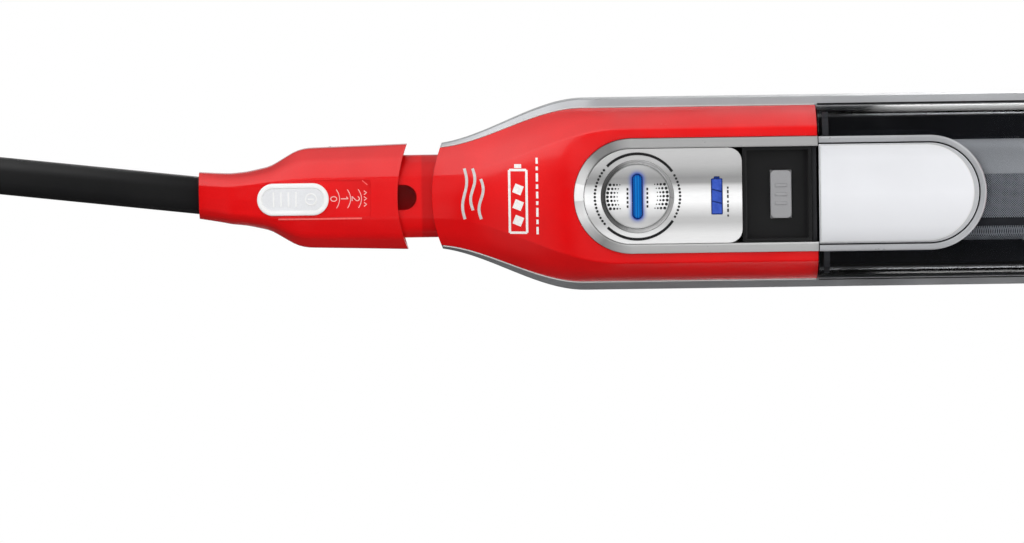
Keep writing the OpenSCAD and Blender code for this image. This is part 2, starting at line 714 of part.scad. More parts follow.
module head_base() color("black") difference() {
    union() {
        translate([0, 0, 4]) linear_extrude(base_top - 4) head_outline(2);
        for (s = [-1, 1]) {
            // arms that carry the tilt pins and the rear wheels
            translate([s * 34 - 4, 2, 6]) cube([8, wheel_y + 5, 19]);
            translate([s * 34, neck_y, pivot_z]) along_x(11, 8);
            translate([s * 34 - 4, neck_y - 11, 20]) cube([8, 22, pivot_z - 20]);
        }
    }
    difference() {
        translate([0, 0, 8]) linear_extrude(30) head_outline(4.5, 15.5);
        for (s = [-1, 1]) translate([s * 34 - 4, 2, 0]) cube([8, 80, 60]);
    }
    // brush window, yoke bay and roller pockets
    translate([-brush_half - 3, brush_y - 21, -1]) cube([2 * brush_half + 6, 42, 30]);
    yoke_bay(30);
    for (s = [-1, 1]) {
        translate([s * 34, neck_y, pivot_z]) along_x(5 + run, 20);
        translate([s * 34, wheel_y, wheel_r]) along_x(3 + run, 20);
    }
}

module head_rings(inset, z_shift) {
    loft([for (s = [[base_top, 0], [34, 1.5], [44, 5], [50, 10], [54, 18]])
        let (w = head_w / 2 - inset - s[1], f = head_front - inset - 1.2 * s[1], b = head_rear - inset - 0.5 * s[1], r = 18)
        [for (q = [[-1, -1, 180], [1, -1, 270], [1, 1, 0], [-1, 1, 90]]) for (a = [0 : 22.5 : 90])
            [q[0] * (w - r) + r * cos(q[2] + a),
             (q[1] < 0 ? -(f - r) : b - r) + r * sin(q[2] + a), s[0] + z_shift]]]);
}

module head_cover() color("red") difference() {
    head_rings(0, gap);
    head_rings(2.5, -2.2);
    yoke_bay(39);
}

// Tunnel over the brush, and the air way back to the neck
channel_end = -3.5;
module brush_tunnel() color("dimgray") difference() {
    union() {
        translate([0, brush_y, brush_z]) along_x(23, 2 * brush_half + 4);
        translate([-18, brush_y + 10, 21.5]) cube([36, channel_end - brush_y - 10, 22]);
    }
    translate([0, brush_y, brush_z]) along_x(21, 300);
    translate([-150, brush_y - 40, -20]) cube([300, 80, 20 + base_top + 0.5]);
    translate([-16, brush_y, 23.5]) cube([32, 80, 18]);
}

module brush_core() color("dimgray") translate([0, brush_y, brush_z]) union() {
    along_x(11, 2 * brush_half - 6);
    along_x(4, 2 * brush_half + 12);
    translate([brush_half + 8, 0, 0]) along_x(9, 7);
}

bristle_rows = 4;
bristle_turn = 140;
function bristle_ring(z, a) = [for (c = [[11.25, -1.3], [19, -1.3], [19, 1.3], [11.25, 1.3]])
    [c[0] * cos(a) - c[1] * sin(a), c[0] * sin(a) + c[1] * cos(a), z]];
module brush_bristles() color("red") translate([-brush_half + 6, brush_y, brush_z]) rotate([0, 90, 0])
    for (i = [0 : bristle_rows - 1])
        loft([for (k = [0 : 14]) bristle_ring(k / 14 * (2 * brush_half - 12),
                                              i * 360 / bristle_rows + k / 14 * bristle_turn)]);

module brush_cap() color("dimgray") difference() {
    translate([-brush_half - 8, brush_y, brush_z]) along_x(10, 9);
    translate([-brush_half - 2, brush_y, brush_z]) along_x(4.05, 13);
}

motor_axis = [-14, 36];
module belt_line(r_brush, r_motor) {
    hull() {
        translate([brush_y, brush_z]) circle(r_brush, $fn = 40);
        translate(motor_axis) circle(r_motor, $fn = 32);
    }
}
module drive_belt() color("black") translate([brush_half + 5.5, 0, 0]) rotate([90, 0, 90]) linear_extrude(5)
    difference() {
        belt_line(10.8, 6.6);
        belt_line(9.3, 5.1);
    }

module brush_motor() color("silver") difference() {
    union() {
        translate([74, motor_axis[0], motor_axis[1]]) along_x(11, 62);
        translate([106.5, motor_axis[0], motor_axis[1]]) along_x(6, 3);
    }
    translate([100, motor_axis[0], motor_axis[1]]) along_x(1.55, 40);
}

module motor_pulley() color("gainsboro") translate([0, motor_axis[0], motor_axis[1]]) union() {
    translate([brush_half + 8, 0, 0]) along_x(4.9, 7);
    translate([106, 0, 0]) along_x(1.5, 24);
}

module tilt_yoke() color("black") difference() {
    union() {
        translate([0, neck_y, pivot_z]) along_x(19.5, 57);
        translate([0, neck_y, pivot_z]) cylinder(r = 22, h = 46);
    }
    translate([0, neck_y, pivot_z]) along_x(16.5, 51);
    translate([0, neck_y, pivot_z - 2]) cylinder(r = 16.5, h = 70);
    translate([0, neck_y, pivot_z + 18]) cylinder(r = 18.05, h = 60);
    // air way from the brush tunnel
    translate([-15, neck_y - 30, pivot_z - 12]) cube([30, 24, 16]);
    for (s = [-1, 1]) translate([s * 27, neck_y, pivot_z]) along_x(5, 6);
}

module tilt_pins() color("silver") for (s = [-1, 1]) translate([s * 31.5, neck_y, pivot_z]) along_x(5, 14.8);

module neck_tube() color("dimgray") difference() {
    union() {
        translate([0, neck_y, pivot_z + 18.3]) cylinder(r = 18, h = 99);
        translate([0, neck_y, pivot_z + 46.5]) cylinder(r = 22, h = 18);
        translate([0, neck_y, pivot_z + 64.5]) cylinder(r1 = 22, r2 = 20, h = 20);
    }
    translate([0, neck_y, 0]) cylinder(r = 15.5, h = 400);
}

wheel_x = 48;
module rear_wheel(side) union() {
    translate([side * wheel_x, wheel_y, wheel_r]) along_x(wheel_r, 12);
    translate([side * (wheel_x - 9.5), wheel_y, wheel_r]) along_x(3, 15);
}

module rear_wheel_left() color("black") rear_wheel(-1);

module rear_wheel_right() color("black") rear_wheel(1);

module glide_pads() color("black") for (s = [-1, 1]) translate([s * 92, -head_front + 6.4, 2]) cube([44, 5, 4], center = true);

rear_housing();
front_shell();
neck_spigot();
bulkhead();
bottom_cap();
panel_frame();
control_panel();
sensor_ring();
sensor_disc();
sensor_light();
battery_light();
display_board();
finger_well();
container_button();
button_spring();
dust_container();
container_frame();
container_pad();
filter_lid();
filter_seal();
filter_mesh();
pleated_filter();
inlet_flap();
suction_duct();
motor_can();
motor_mount();
fan_rotor();
battery_case();
battery_cells();
control_board();
exhaust_grille();
exhaust_filter();
charging_socket();
housing_screws();
handle_front();
handle_rear();
speed_slider();
switch_block();
release_lever();
lever_spring();
handle_tube();
grip_body();
grip_sleeve();
grip_cap();
handle_screws();
head_base();
head_cover();
brush_tunnel();
brush_core();
brush_bristles();
brush_cap();
drive_belt();
brush_motor();
motor_pulley();
tilt_yoke();
tilt_pins();
neck_tube();
rear_wheel_left();
rear_wheel_right();
glide_pads();
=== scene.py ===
"""Looks of the cordless stick vacuum: fine shells, marks, materials, light and camera round the CAD frame.

Shapes are worked out in millimetres in the row's own frame and turned into metres as each mesh is made.
"""

import json
import math
import random

import bmesh
import bpy
from mathutils import Matrix, Vector


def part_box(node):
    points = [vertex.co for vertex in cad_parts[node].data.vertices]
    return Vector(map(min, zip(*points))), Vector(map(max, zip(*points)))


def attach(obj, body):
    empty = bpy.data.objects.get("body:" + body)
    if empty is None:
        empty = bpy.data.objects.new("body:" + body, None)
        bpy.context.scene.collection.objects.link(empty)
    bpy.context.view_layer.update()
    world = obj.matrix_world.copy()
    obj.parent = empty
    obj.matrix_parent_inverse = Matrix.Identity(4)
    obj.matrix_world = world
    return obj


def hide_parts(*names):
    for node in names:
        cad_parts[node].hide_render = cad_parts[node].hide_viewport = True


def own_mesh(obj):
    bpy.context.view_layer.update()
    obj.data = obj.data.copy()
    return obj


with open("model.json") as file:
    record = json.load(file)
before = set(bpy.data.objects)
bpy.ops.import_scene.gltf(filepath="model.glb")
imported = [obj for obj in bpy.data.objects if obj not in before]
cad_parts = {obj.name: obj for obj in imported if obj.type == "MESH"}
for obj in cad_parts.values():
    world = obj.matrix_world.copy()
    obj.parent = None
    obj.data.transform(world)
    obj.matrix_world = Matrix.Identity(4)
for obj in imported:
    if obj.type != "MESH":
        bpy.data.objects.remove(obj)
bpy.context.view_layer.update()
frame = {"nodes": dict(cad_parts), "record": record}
random.seed(7)

MM = 0.001


def low(node):
    """Lowest corner of a CAD node's box, in millimetres."""
    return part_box(node)[0] / MM


def high(node):
    """Highest corner of a CAD node's box, in millimetres."""
    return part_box(node)[1] / MM


# ------------------------------------------------------------------ driving sizes, partly read from the CAD frame and partly given

GAP = 0.3
WALL = 2.5
RAIL_HALF = high("rear_housing").x
SHOULDER_RISE = 5
SHOULDER_Z = high("front_shell").z - SHOULDER_RISE
CAP_H = 14
BASE_Z = low("rear_housing").z - CAP_H
BODY_FRONT = -low("front_shell").y
BODY_BACK = high("rear_housing").y
SPLIT_Z = low("front_shell").z - GAP
RAIL_W = 5.7
RAIL_NARROWING = 3.4
SHOULDER_TAPER = 29.3
BASE_TAPER = 20
BASE_TAPER_H = 72
PARTING = 18

FRAME_R = high("panel_frame").x
FRAME_Z = high("panel_frame").z - FRAME_R
SENSOR_Z = (low("sensor_disc").z + high("sensor_disc").z) / 2
SENSOR_R = high("sensor_disc").x
RING_R = 24.4
BAR_R = 3.3
BAR_HALF = 15
PANEL_R = high("control_panel").x
PANEL_END_Z = low("control_panel").z
PANEL_Y = low("control_panel").y
BEVEL = FRAME_R - PANEL_R - GAP

CONTAINER_BASE_Z = low("dust_container").z
CONTAINER_TOP_Z = high("dust_container").z
CONTAINER_BACK = high("dust_container").y
PAD_Z = low("container_frame").z

HANDLE_Z = low("handle_front").z
SLIDER_R = high("speed_slider").x
SLIDER_Z = low("speed_slider").z
SLIDER_TOP = high("speed_slider").z
LEAN = math.radians(6.2)
BACK_LEAN = math.radians(6)
TUBE_BASE = Vector((0, 1, HANDLE_Z + 118))
TUBE_LEN = 225
TUBE_TURN = Matrix.Rotation(LEAN, 4, "Y") @ Matrix.Rotation(-BACK_LEAN, 4, "X")
GRIP_ARC_R = 250
GRIP_ANGLE = 28
CAP_SWEEP = 6

HEAD_HALF = high("head_cover").x
HEAD_FRONT = -low("head_cover").y
HEAD_REAR = high("head_cover").y
HEAD_SPLIT_Z = low("head_cover").z
BRUSH_Y = (low("brush_core").y + high("brush_core").y) / 2
BRUSH_Z = (low("brush_core").z + high("brush_core").z) / 2
BRUSH_HALF = 110
WHEEL_X = 48


# ------------------------------------------------------------------ small mathematics

def clamp(t):
    return min(1.0, max(0.0, t))


def smooth(t):
    u = clamp(t)
    return u * u * (3 - 2 * u)


def mix(a, b, t):
    return a + (b - a) * t


def spread(a, b, n):
    """n + 1 even steps from a to b."""
    return [mix(a, b, i / n) for i in range(n + 1)]


def arc(cx, cy, r, start, end, n):
    """Points on an arc, in degrees."""
    return [(cx + r * math.cos(math.radians(a)), cy + r * math.sin(math.radians(a)))
            for a in spread(start, end, n)]


def rounded(points, steps=4, closed=True):
    """A path through (x, y, setback) corners, each turned on a curve that starts setback before it."""
    out = []
    n = len(points)
    for i, (x, y, setback) in enumerate(points):
        corner = Vector((x, y))
        if setback == 0 or (not closed and i in (0, n - 1)):
            out.append(tuple(corner))
            continue
        before = Vector(points[i - 1][:2]) - corner
        after = Vector(points[(i + 1) % n][:2]) - corner
        a = corner + before.normalized() * min(setback, 0.48 * before.length)
        b = corner + after.normalized() * min(setback, 0.48 * after.length)
        for t in spread(0, 1, steps):
            out.append(tuple(a * (1 - t) ** 2 + corner * 2 * t * (1 - t) + b * t * t))
    return out


def at_z(points, z):
    return [(x, y, z) for x, y in points]


# ------------------------------------------------------------------ mesh making

def loft(rings, closed=True, caps=True):
    """Vertices and faces through rings of equal length."""
    n = len(rings[0])
    last = (len(rings) - 1) * n
    faces = []
    for j in range(len(rings) - 1):
        for i in range(n if closed else n - 1):
            k = (i + 1) % n
            faces.append((j * n + i, j * n + k, (j + 1) * n + k, (j + 1) * n + i))
    if caps:
        faces.append(tuple(range(n))[::-1])
        faces.append(tuple(range(last, last + n)))
    return [v for ring in rings for v in ring], faces


def prism(outline, y0, y1):
    """A plate across Y, with its outline given in X and Z."""
    return loft([[(x, y, z) for x, z in outline] for y in (y0, y1)])


def box_mesh(lo, hi):
    outline = [(lo[0], lo[2]), (hi[0], lo[2]), (hi[0], hi[2]), (lo[0], hi[2])]
    return prism(outline, lo[1], hi[1])


def lathe(profile, centre, axis, steps=48):
    """A turned solid: profile is (radius, place along the axis), and axis is x, y or z."""
    rings = []
    for a in spread(0, 2 * math.pi, steps)[:-1]:
        c, s = math.cos(a), math.sin(a)
        turn = {"x": lambda r, t: (t, r * c, r * s), "y": lambda r, t: (r * s, t, r * c),
                "z": lambda r, t: (r * c, r * s, t)}[axis]
        rings.append([tuple(Vector(turn(r, t)) + Vector(centre)) for r, t in profile])
    rings.append(rings[0])
    return loft(rings, closed=False, caps=False)


def rod(r, start, end, centre, axis, steps=48):
    """A cylinder from start to end along an axis through centre."""
    return lathe([(0.01, start), (r, start), (r, end), (0.01, end)], centre, axis, steps)


def join(*parts):
    """Several (vertices, faces) as one."""
    verts, faces = [], []
    for v, f in parts:
        faces += [tuple(i + len(verts) for i in face) for face in f]
        verts += list(v)
    return verts, faces


def outward(mesh):
    """Makes the mesh's faces look outward, and merges points in the same place."""
    work = bmesh.new()
    work.from_mesh(mesh)
    bmesh.ops.remove_doubles(work, verts=work.verts, dist=0.002 * MM)
    bmesh.ops.recalc_face_normals(work, faces=work.faces)
    work.to_mesh(mesh)
    work.free()


def solid(name, shape):
    """A Blender object from (vertices, faces) in millimetres."""
    mesh = bpy.data.meshes.new(name)
    mesh.from_pydata([Vector(v) * MM for v in shape[0]], [], shape[1])
    outward(mesh)
    ob = bpy.data.objects.new(name, mesh)
    bpy.context.scene.collection.objects.link(ob)
    return ob


def apply_modifiers(ob):
    graph = bpy.context.evaluated_depsgraph_get()
    done = bpy.data.meshes.new_from_object(ob.evaluated_get(graph), depsgraph=graph)
    ob.modifiers.clear()
    ob.data = done


def carve(ob, *cutters, keep_inside=False):
    """Cuts the shapes out of ob, or with keep_inside keeps only what lies in them."""
    tools = [solid(f"{ob.name}_cutter", c) for c in cutters]
    for tool in tools:
        cut = ob.modifiers.new("cut", "BOOLEAN")
        cut.object = tool
        cut.operation = "INTERSECT" if keep_inside else "DIFFERENCE"
        cut.solver = "EXACT"
    apply_modifiers(ob)
    for tool in tools:
        bpy.data.objects.remove(tool)
    return ob


def bevel_edges(ob, radius):
    """Rounds the sharp edges of ob by radius millimetres."""
    bevel = ob.modifiers.new("edge", "BEVEL")
    bevel.width = radius * MM
    bevel.segments = 2
    bevel.limit_method = "ANGLE"
    bevel.angle_limit = math.radians(40)
    bevel.harden_normals = True


def dress(ob, look, body, slot, *nodes, crease=32, edge=0.0):
    """Gives a finished piece its named look and rounded edges, ties it to its body, and hides the CAD nodes
    that it stands in for.
    """
    ob.data.materials.clear()
    ob.data.materials.append(looks[look])
    ob.data.shade_smooth()
    ob.data.set_sharp_from_angle(angle=math.radians(crease))
    if edge:
        bevel_edges(ob, edge)
    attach(ob, body)
    if nodes:
        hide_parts(*nodes)
    return ob


def piece(name, shape, look, body, slot, *nodes, crease=32, edge=0.0):
    return dress(solid(name, shape), look, body, slot, *nodes, crease=crease, edge=edge)


# ------------------------------------------------------------------ materials

looks = {}


class Nodes:
    """Shader nodes being wired up in one tree."""

    def __init__(self, tree):
        self.tree = tree
        tree.nodes.clear()

    def put(self, socket, value):
        """Links an output to the socket, or gives the socket a plain value."""
        if isinstance(value, bpy.types.NodeSocket):
            self.tree.links.new(value, socket)
        else:
            socket.default_value = value

    def add(self, kind, inputs=None, **settings):
        node = self.tree.nodes.new("ShaderNode" + kind)
        for key, value in settings.items():
            setattr(node, key, value)
        for key, value in (inputs or {}).items():
            self.put(node.inputs[key], value)
        return node

    def math(self, operation, a, b=0.0):
        return self.add("Math", {0: a, 1: b}, operation=operation).outputs[0]

    def times(self, a, b):
        return self.math("MULTIPLY", a, b)

    def plus(self, a, b):
        return self.math("ADD", a, b)

    def fit(self, value, lo, hi, to_lo, to_hi):
        """Carries lo to hi over to to_lo to to_hi, and holds the end values beyond them."""
        inputs = {"Value": value, "From Min": lo, "From Max": hi, "To Min": to_lo, "To Max": to_hi}
        return self.add("MapRange", inputs, clamp=True).outputs["Result"]


class Look(Nodes):
    """A procedural material being built. Its pattern coordinates are the row's own, in metres."""

    def __init__(self, name):
        self.name = name
        self.material = bpy.data.materials.new(name)
        self.material.use_nodes = True
        super().__init__(self.material.node_tree)
        self.out = self.add("OutputMaterial")
        self.place = self.add("TexCoord").outputs["Object"]

    def noise(self, size_mm, detail=3, stretch=None):
        """Cloudy pattern with features of about size_mm, drawn out along an axis by stretch."""
        place = self.place
        if stretch:
            place = self.add("Mapping", {"Vector": place, "Scale": stretch}).outputs[0]
        values = {"Vector": place, "Scale": 1 / (size_mm * MM), "Detail": detail}
        return self.add("TexNoise", values).outputs["Fac"]

    def full(self, pattern, to_lo=0, to_hi=1):
        """A noise pattern with its usual range spread over to_lo to to_hi."""
        return self.fit(pattern, 0.3, 0.7, to_lo, to_hi)

    def uneven(self, size_mm, detail, lo, hi):
        """A value that wanders between lo and hi, in patches of about size_mm."""
        return self.full(self.noise(size_mm, detail), lo, hi)

    def blend(self, factor, a, b, how="MIX"):
        """Colours a and b mixed by factor."""
        node = self.add("Mix", data_type="RGBA", blend_type=how)
        self.put(node.inputs[0], factor)
        for index, colour in ((6, a), (7, b)):
            self.put(node.inputs[index], colour if isinstance(colour, bpy.types.NodeSocket) else (*colour, 1))
        return node.outputs[2]

    def ramp(self, value, stops):
        """Grey tones along a value: stops are (value, tone)."""
        node = self.add("ValToRGB", {"Fac": value})
        elements = node.color_ramp.elements
        for i, (place, tone) in enumerate(stops):
            element = elements[i] if i < 2 else elements.new(place)
            element.position = place
            element.color = (tone, tone, tone, 1)
        return node.outputs["Color"]

    def axis(self, name):
        return self.add("SeparateXYZ", {0: self.place}).outputs[name]

    def bump(self, height, depth_mm, normal=None):
        inputs = {"Height": height, "Distance": depth_mm * MM, "Strength": 1.0}
        if normal is not None:
            inputs["Normal"] = normal
        return self.add("Bump", inputs).outputs["Normal"]

    def edges(self, radius_mm):
        """Rounded-edge normal, and a mask that is 1 along edges."""
        rounded_normal = self.add("Bevel", {"Radius": radius_mm * MM}, samples=4).outputs["Normal"]
        true_normal = self.add("NewGeometry").outputs["Normal"]
        dot_product = self.add("VectorMath", {0: rounded_normal, 1: true_normal}, operation="DOT_PRODUCT")
        return rounded_normal, self.fit(dot_product.outputs["Value"], 0.86, 0.99, 1, 0)

    def painted_edge_highlight(self, base, radius_mm, strength, colour=(1, 1, 1)):
        """The base with a painted highlight along its edges, and the rounded-edge normal."""
        rounded_normal, edge_mask = self.edges(radius_mm)
        return self.blend(self.times(edge_mask, strength), base, colour), rounded_normal

    def finish(self, shader):
        """Ends the material with a shader, and keeps it under its name."""
        self.put(self.out.inputs["Surface"], shader)
        looks[self.name] = self.material

    def principled(self, base, rough, normal=None, metal=0.0, extra=None):
        """Finishes the material from its colour, roughness, relief, metalness and extra sockets."""
        values = {"Base Color": base, "Roughness": rough, "Metallic": metal}
        if normal is not None:
            values["Normal"] = normal
        self.finish(self.add("BsdfPrincipled", {**values, **(extra or {})}).outputs[0])


def shade(color, factor):
    """A colour made darker or lighter."""
    return tuple(min(1.0, c * factor) for c in color)


def moulded(name, color, rough, grain=(0.5, 0.004), metal=0.0, wear=1.35, coat=0.0, peel=0.0, edge=0.5,
            specular=0.5, shaded_below=None):
    """Moulded or painted surface: mottled colour, grain, smudged gloss, and paler worn edges.

    With shaded_below it lies in shadow under that height, in millimetres.
    """
    look = Look(name)
    clouds = look.noise(45, 3)
    base = look.blend(look.fit(clouds, 0.35, 0.65, 0, 1), shade(color, 0.93), shade(color, 1.05))
    base = look.blend(look.uneven(0.9, 2, 0, 0.25), base, shade(color, 0.82))
    rounded_normal, edge_mask = look.edges(edge)
    worn = look.times(edge_mask, look.fit(look.noise(6, 5), 0.5, 0.72, 0, 0.55))
    base = look.blend(worn, base, shade(color, wear))
    if shaded_below:
        lit = look.fit(look.axis("Z"), shaded_below * MM, (shaded_below + 1.5) * MM, 0, 1)
        base = look.blend(lit, shade(color, 0.7), base)
    smudge = look.fit(look.noise(22, 5), 0.35, 0.7, -0.03, 0.06)
    scratches = look.fit(look.noise(1.6, 2, (1, 1, 0.06)), 0.62, 0.75, 0, 0.03)
    gloss = look.plus(look.plus(smudge, scratches), rough)
    normal = look.bump(look.noise(grain[0], 2), grain[1], rounded_normal)
    if peel:
        normal = look.bump(look.noise(9, 1), peel, normal)
    extra = {"Coat Weight": coat, "Coat Roughness": 0.05, "Specular IOR Level": specular}
    look.principled(base, gloss, normal, metal, extra)


def brushed(name, color, rough, stretch, metal=0.9):
    """Metal with fine drawn lines along one axis."""
    look = Look(name)
    lines = look.noise(0.25, 3, stretch)
    base = look.blend(look.full(lines), shade(color, 0.8), shade(color, 1.1))
    # painted highlight along the metal's edges
    base, rounded_normal = look.painted_edge_highlight(base, 0.35, 0.3, shade(color, 1.4))
    gloss = look.uneven(8, 4, rough - 0.06, rough + 0.08)
    look.principled(base, gloss, look.bump(lines, 0.006, rounded_normal), metal)


PANEL_SPAN = 34


def across_panel(look):
    """0 to 1 across the display panel and the container's pad."""
    return look.fit(look.axis("X"), -PANEL_SPAN * MM, PANEL_SPAN * MM, 0, 1)


def painted_reflection_bands(look):
    """Painted reflection: broad bands of light and dark that run the length of the satin panel, by place
    across it.
    """
    stops = ((0.0, 0.86), (0.13, 0.8), (0.24, 0.53), (0.29, 0.54), (0.36, 0.74), (0.44, 1.0),
             (0.52, 0.97), (0.595, 0.68), (0.63, 0.34), (0.68, 0.3), (0.8, 0.5), (0.9, 0.56))
    return look.ramp(across_panel(look), stops)


def satin_panel(name):
    """Fine satin silver with brushed lines, painted reflection bands along its length, and a painted
    highlight along its edges.
    """
    look = Look(name)
    lines = look.noise(0.12, 2, (1, 1, 0.02))
    base = look.blend(look.full(lines, 0, 0.2), painted_reflection_bands(look), (0.6, 0.61, 0.63), "MULTIPLY")
    base, rounded_normal = look.painted_edge_highlight(base, 0.3, 0.5)
    look.principled(base, look.uneven(14, 4, 0.3, 0.4), look.bump(lines, 0.002, rounded_normal), 0.1)


def bevelled_frame(name):
    """Satin silver bevel with painted shade and highlight that turn with its facing: painted shade above, a
    bright painted highlight at the end, mid grey below, and a painted highlight along its edges.
    """
    look = Look(name)
    up = look.math("MAXIMUM", look.math("SUBTRACT", look.axis("Z"), FRAME_Z * MM), 0.0)
    turned = look.math("ARCTAN2", up, look.axis("X"))
    stops = ((0.0, 0.36), (0.13, 0.15), (0.23, 0.16), (0.34, 0.5), (0.42, 0.72), (0.425, 1.0), (0.52, 1.0),
             (0.525, 0.7), (0.62, 0.9), (0.7, 0.6), (0.82, 0.32), (1.0, 0.6))
    tones = look.ramp(look.fit(turned, 0, math.pi, 0, 1), stops)
    lines = look.noise(0.5, 2, (1, 1, 0.1))
    base = look.blend(look.full(lines, 0, 0.07), tones, (0.5, 0.51, 0.53), "MULTIPLY")
    base, _ = look.painted_edge_highlight(base, 0.2, 0.4)
    look.principled(base, look.uneven(11, 4, 0.27, 0.31), look.bump(lines, 0.0006), 0.15)


def sensor_groove(name):
    """Silver groove with painted shade: deep on its upper side and pale on its lower one."""
    look = Look(name)
    facing = look.math("DIVIDE", look.math("SUBTRACT", look.axis("Z"), SENSOR_Z * MM), (SENSOR_R + 2) * MM)
    stops = ((0.0, 0.34), (0.35, 0.5), (0.6, 0.42), (0.78, 0.12), (1.0, 0.06))
    tones = look.ramp(look.fit(facing, -1, 1, 0, 1), stops)
    base = look.blend(look.uneven(2, 4, 0, 0.2), tones, (0.6, 0.6, 0.62), "MULTIPLY")
    look.principled(base, look.uneven(3, 4, 0.26, 0.36), look.bump(look.noise(0.3, 2), 0.0015), 0.15)


def satin_pad(name, color):
    """Pale satin pad with painted shade that darkens it a little towards its sides, and a painted highlight
    along its edges.
    """
    look = Look(name)
    tones = look.ramp(across_panel(look), ((0.0, 0.7), (0.18, 0.88), (0.5, 1.0), (0.85, 0.97), (1.0, 0.85)))
    base = look.blend(1.0, tones, color, "MULTIPLY")
    base = look.blend(look.fit(look.noise(30, 4), 0.4, 0.7, 0, 0.12), base, shade(color, 0.8))
    base, rounded_normal = look.painted_edge_highlight(base, 0.4, 0.4)
    normal = look.bump(look.noise(0.12, 2), 0.0012, rounded_normal)
    look.principled(base, look.uneven(10, 4, 0.36, 0.48), normal, 0.1)


def light_bar_distance(look):
    """Distance from the light bar's middle line, in metres."""
    axes = look.add("SeparateXYZ", {0: look.place})
    past_end = look.math("SUBTRACT", look.math("ABSOLUTE", axes.outputs["X"]), (BAR_HALF - BAR_R) * MM)
    along = look.math("MAXIMUM", past_end, 0.0)
    across = look.math("SUBTRACT", axes.outputs["Z"], SENSOR_Z * MM)
    return look.math("SQRT", look.plus(look.times(along, along), look.times(across, across)))


def lit_disc(name, color):
    """Satin silver disc with painted reflection bands, and a painted blue glow round the light bar in its
    colour and emission.
    """
    look = Look(name)
    near = look.fit(light_bar_distance(look), (BAR_R + 0.1) * MM, (BAR_R + 4.1) * MM, 1, 0)
    painted_halo = look.times(near, near)
    base = look.blend(look.uneven(5, 3, 0, 0.3), painted_reflection_bands(look), color, "MULTIPLY")
    base = look.blend(painted_halo, base, (0.005, 0.06, 0.36))
    extra = {"Emission Color": (0.02, 0.14, 0.9, 1), "Emission Strength": look.times(painted_halo, 0.1)}
    look.principled(base, look.uneven(1.2, 3, 0.3, 0.4), look.bump(look.noise(0.3, 2), 0.002), 0.1, extra)


def light_bar(name):
    """Blue light pipe: azure in the middle, with fine ribs and a deep blue edge."""
    look = Look(name)
    core = look.fit(light_bar_distance(look), 0.0017, 0.0031, 1, 0)
    ribs = look.add("TexWave", {"Vector": look.place, "Scale": 190.0, "Distortion": 0.2},
                    bands_direction="Z").outputs["Fac"]
    azure = look.blend(look.fit(ribs, 0.2, 0.8, 0, 1), (0.001, 0.07, 0.28), (0.003, 0.14, 0.43))
    colour = look.blend(core, (0.001, 0.01, 0.12), azure)
    extra = {"Emission Color": colour, "Emission Strength": 0.3}
    look.principled(colour, look.uneven(2, 3, 0.12, 0.22), extra=extra)


def battery_blue(name, depth=1.0):
    """Lit blue plastic of the battery light, darker with a lower depth."""
    look = Look(name)
    colour = look.blend(look.uneven(4, 3, 0, 1), shade((0.025, 0.06, 0.33), depth),
                        shade((0.04, 0.09, 0.44), depth))
    extra = {"Emission Color": colour, "Emission Strength": 0.2}
    look.principled(colour, look.uneven(2, 3, 0.15, 0.28), look.bump(look.noise(0.4, 2), 0.004), extra=extra)


def smoked(name):
    """Clear smoked plastic: tinted see-through walls that mirror more at a slant, with faint scuffs."""
    look = Look(name)
    tint = look.blend(look.uneven(60, 2, 0, 1), (0.8, 0.81, 0.83), (0.86, 0.87, 0.89))
    scuffs = look.fit(look.noise(1.5, 3, (1, 1, 0.05)), 0.6, 0.8, 0, 0.1)
    dust = look.fit(look.noise(30, 5), 0.45, 0.8, 0.03, 0.1)
    gloss = look.plus(scuffs, dust)
    rounded_normal, _ = look.edges(0.6)
    normal = look.bump(look.noise(25, 1), 0.02, rounded_normal)
    through = look.add("BsdfTransparent", {"Color": tint})
    mirror = look.add("BsdfGlossy", {"Color": (1, 1, 1, 1), "Roughness": gloss, "Normal": normal})
    fresnel = look.add("Fresnel", {"IOR": 1.52, "Normal": normal})
    mixed = look.add("MixShader", {0: fresnel.outputs[0], 1: through.outputs[0], 2: mirror.outputs[0]})
    look.finish(mixed.outputs[0])


def woven_mesh(name, pitch_mm=1.5):
    """Fine steel gauze: a diagonal grid of bright wires with dark holes."""
    look = Look(name)
    axes = look.add("SeparateXYZ", {0: look.place})
    across = look.plus(axes.outputs["X"], axes.outputs["Y"])
    waves = []
    for sign in (1, -1):
        slant = look.plus(across, look.times(axes.outputs["Z"], sign))
        waves.append(look.math("SINE", look.times(slant, math.tau / (pitch_mm * MM))))
    wires = look.math("MAXIMUM", waves[0], waves[1])
    colour = look.blend(look.fit(wires, 0.0, 0.8, 0, 1), (0.1, 0.105, 0.11), (0.85, 0.87, 0.9))
    dust = look.fit(look.noise(12, 4), 0.5, 0.75, 0, 0.35)
    colour = look.blend(dust, colour, (0.3, 0.29, 0.27))
    look.principled(colour, look.fit(wires, -1, 1, 0.7, 0.38), look.bump(wires, 0.12), 0.5)


def fibrous(name, color, size_mm, depth_mm, sheen=0.2):
    """Paper, foam, bristle or felt: soft, rough, with a fibrous relief."""
    look = Look(name)
    fibres = look.noise(size_mm, 6)
    base = look.blend(look.full(fibres), shade(color, 0.72), shade(color, 1.15))
    gloss = look.uneven(size_mm * 4, 3, 0.78, 0.95)
    look.principled(base, gloss, look.bump(fibres, depth_mm), extra={"Sheen Weight": sheen})


def circuit_board(name):
    """Green board with a grid of traces and patches of pale solder."""
    look = Look(name)
    grid = look.add("TexBrick", {"Vector": look.place, "Scale": 320.0, "Mortar Size": 0.06})
    traces = look.fit(grid.outputs["Fac"], 0.1, 0.9, 0, 1)
    base = look.blend(traces, (0.01, 0.13, 0.05), (0.03, 0.24, 0.1))
    base = look.blend(look.fit(look.noise(3, 2), 0.62, 0.66, 0, 1), base, (0.7, 0.62, 0.35))
    look.principled(base, look.uneven(5, 3, 0.3, 0.5), look.bump(traces, 0.02))


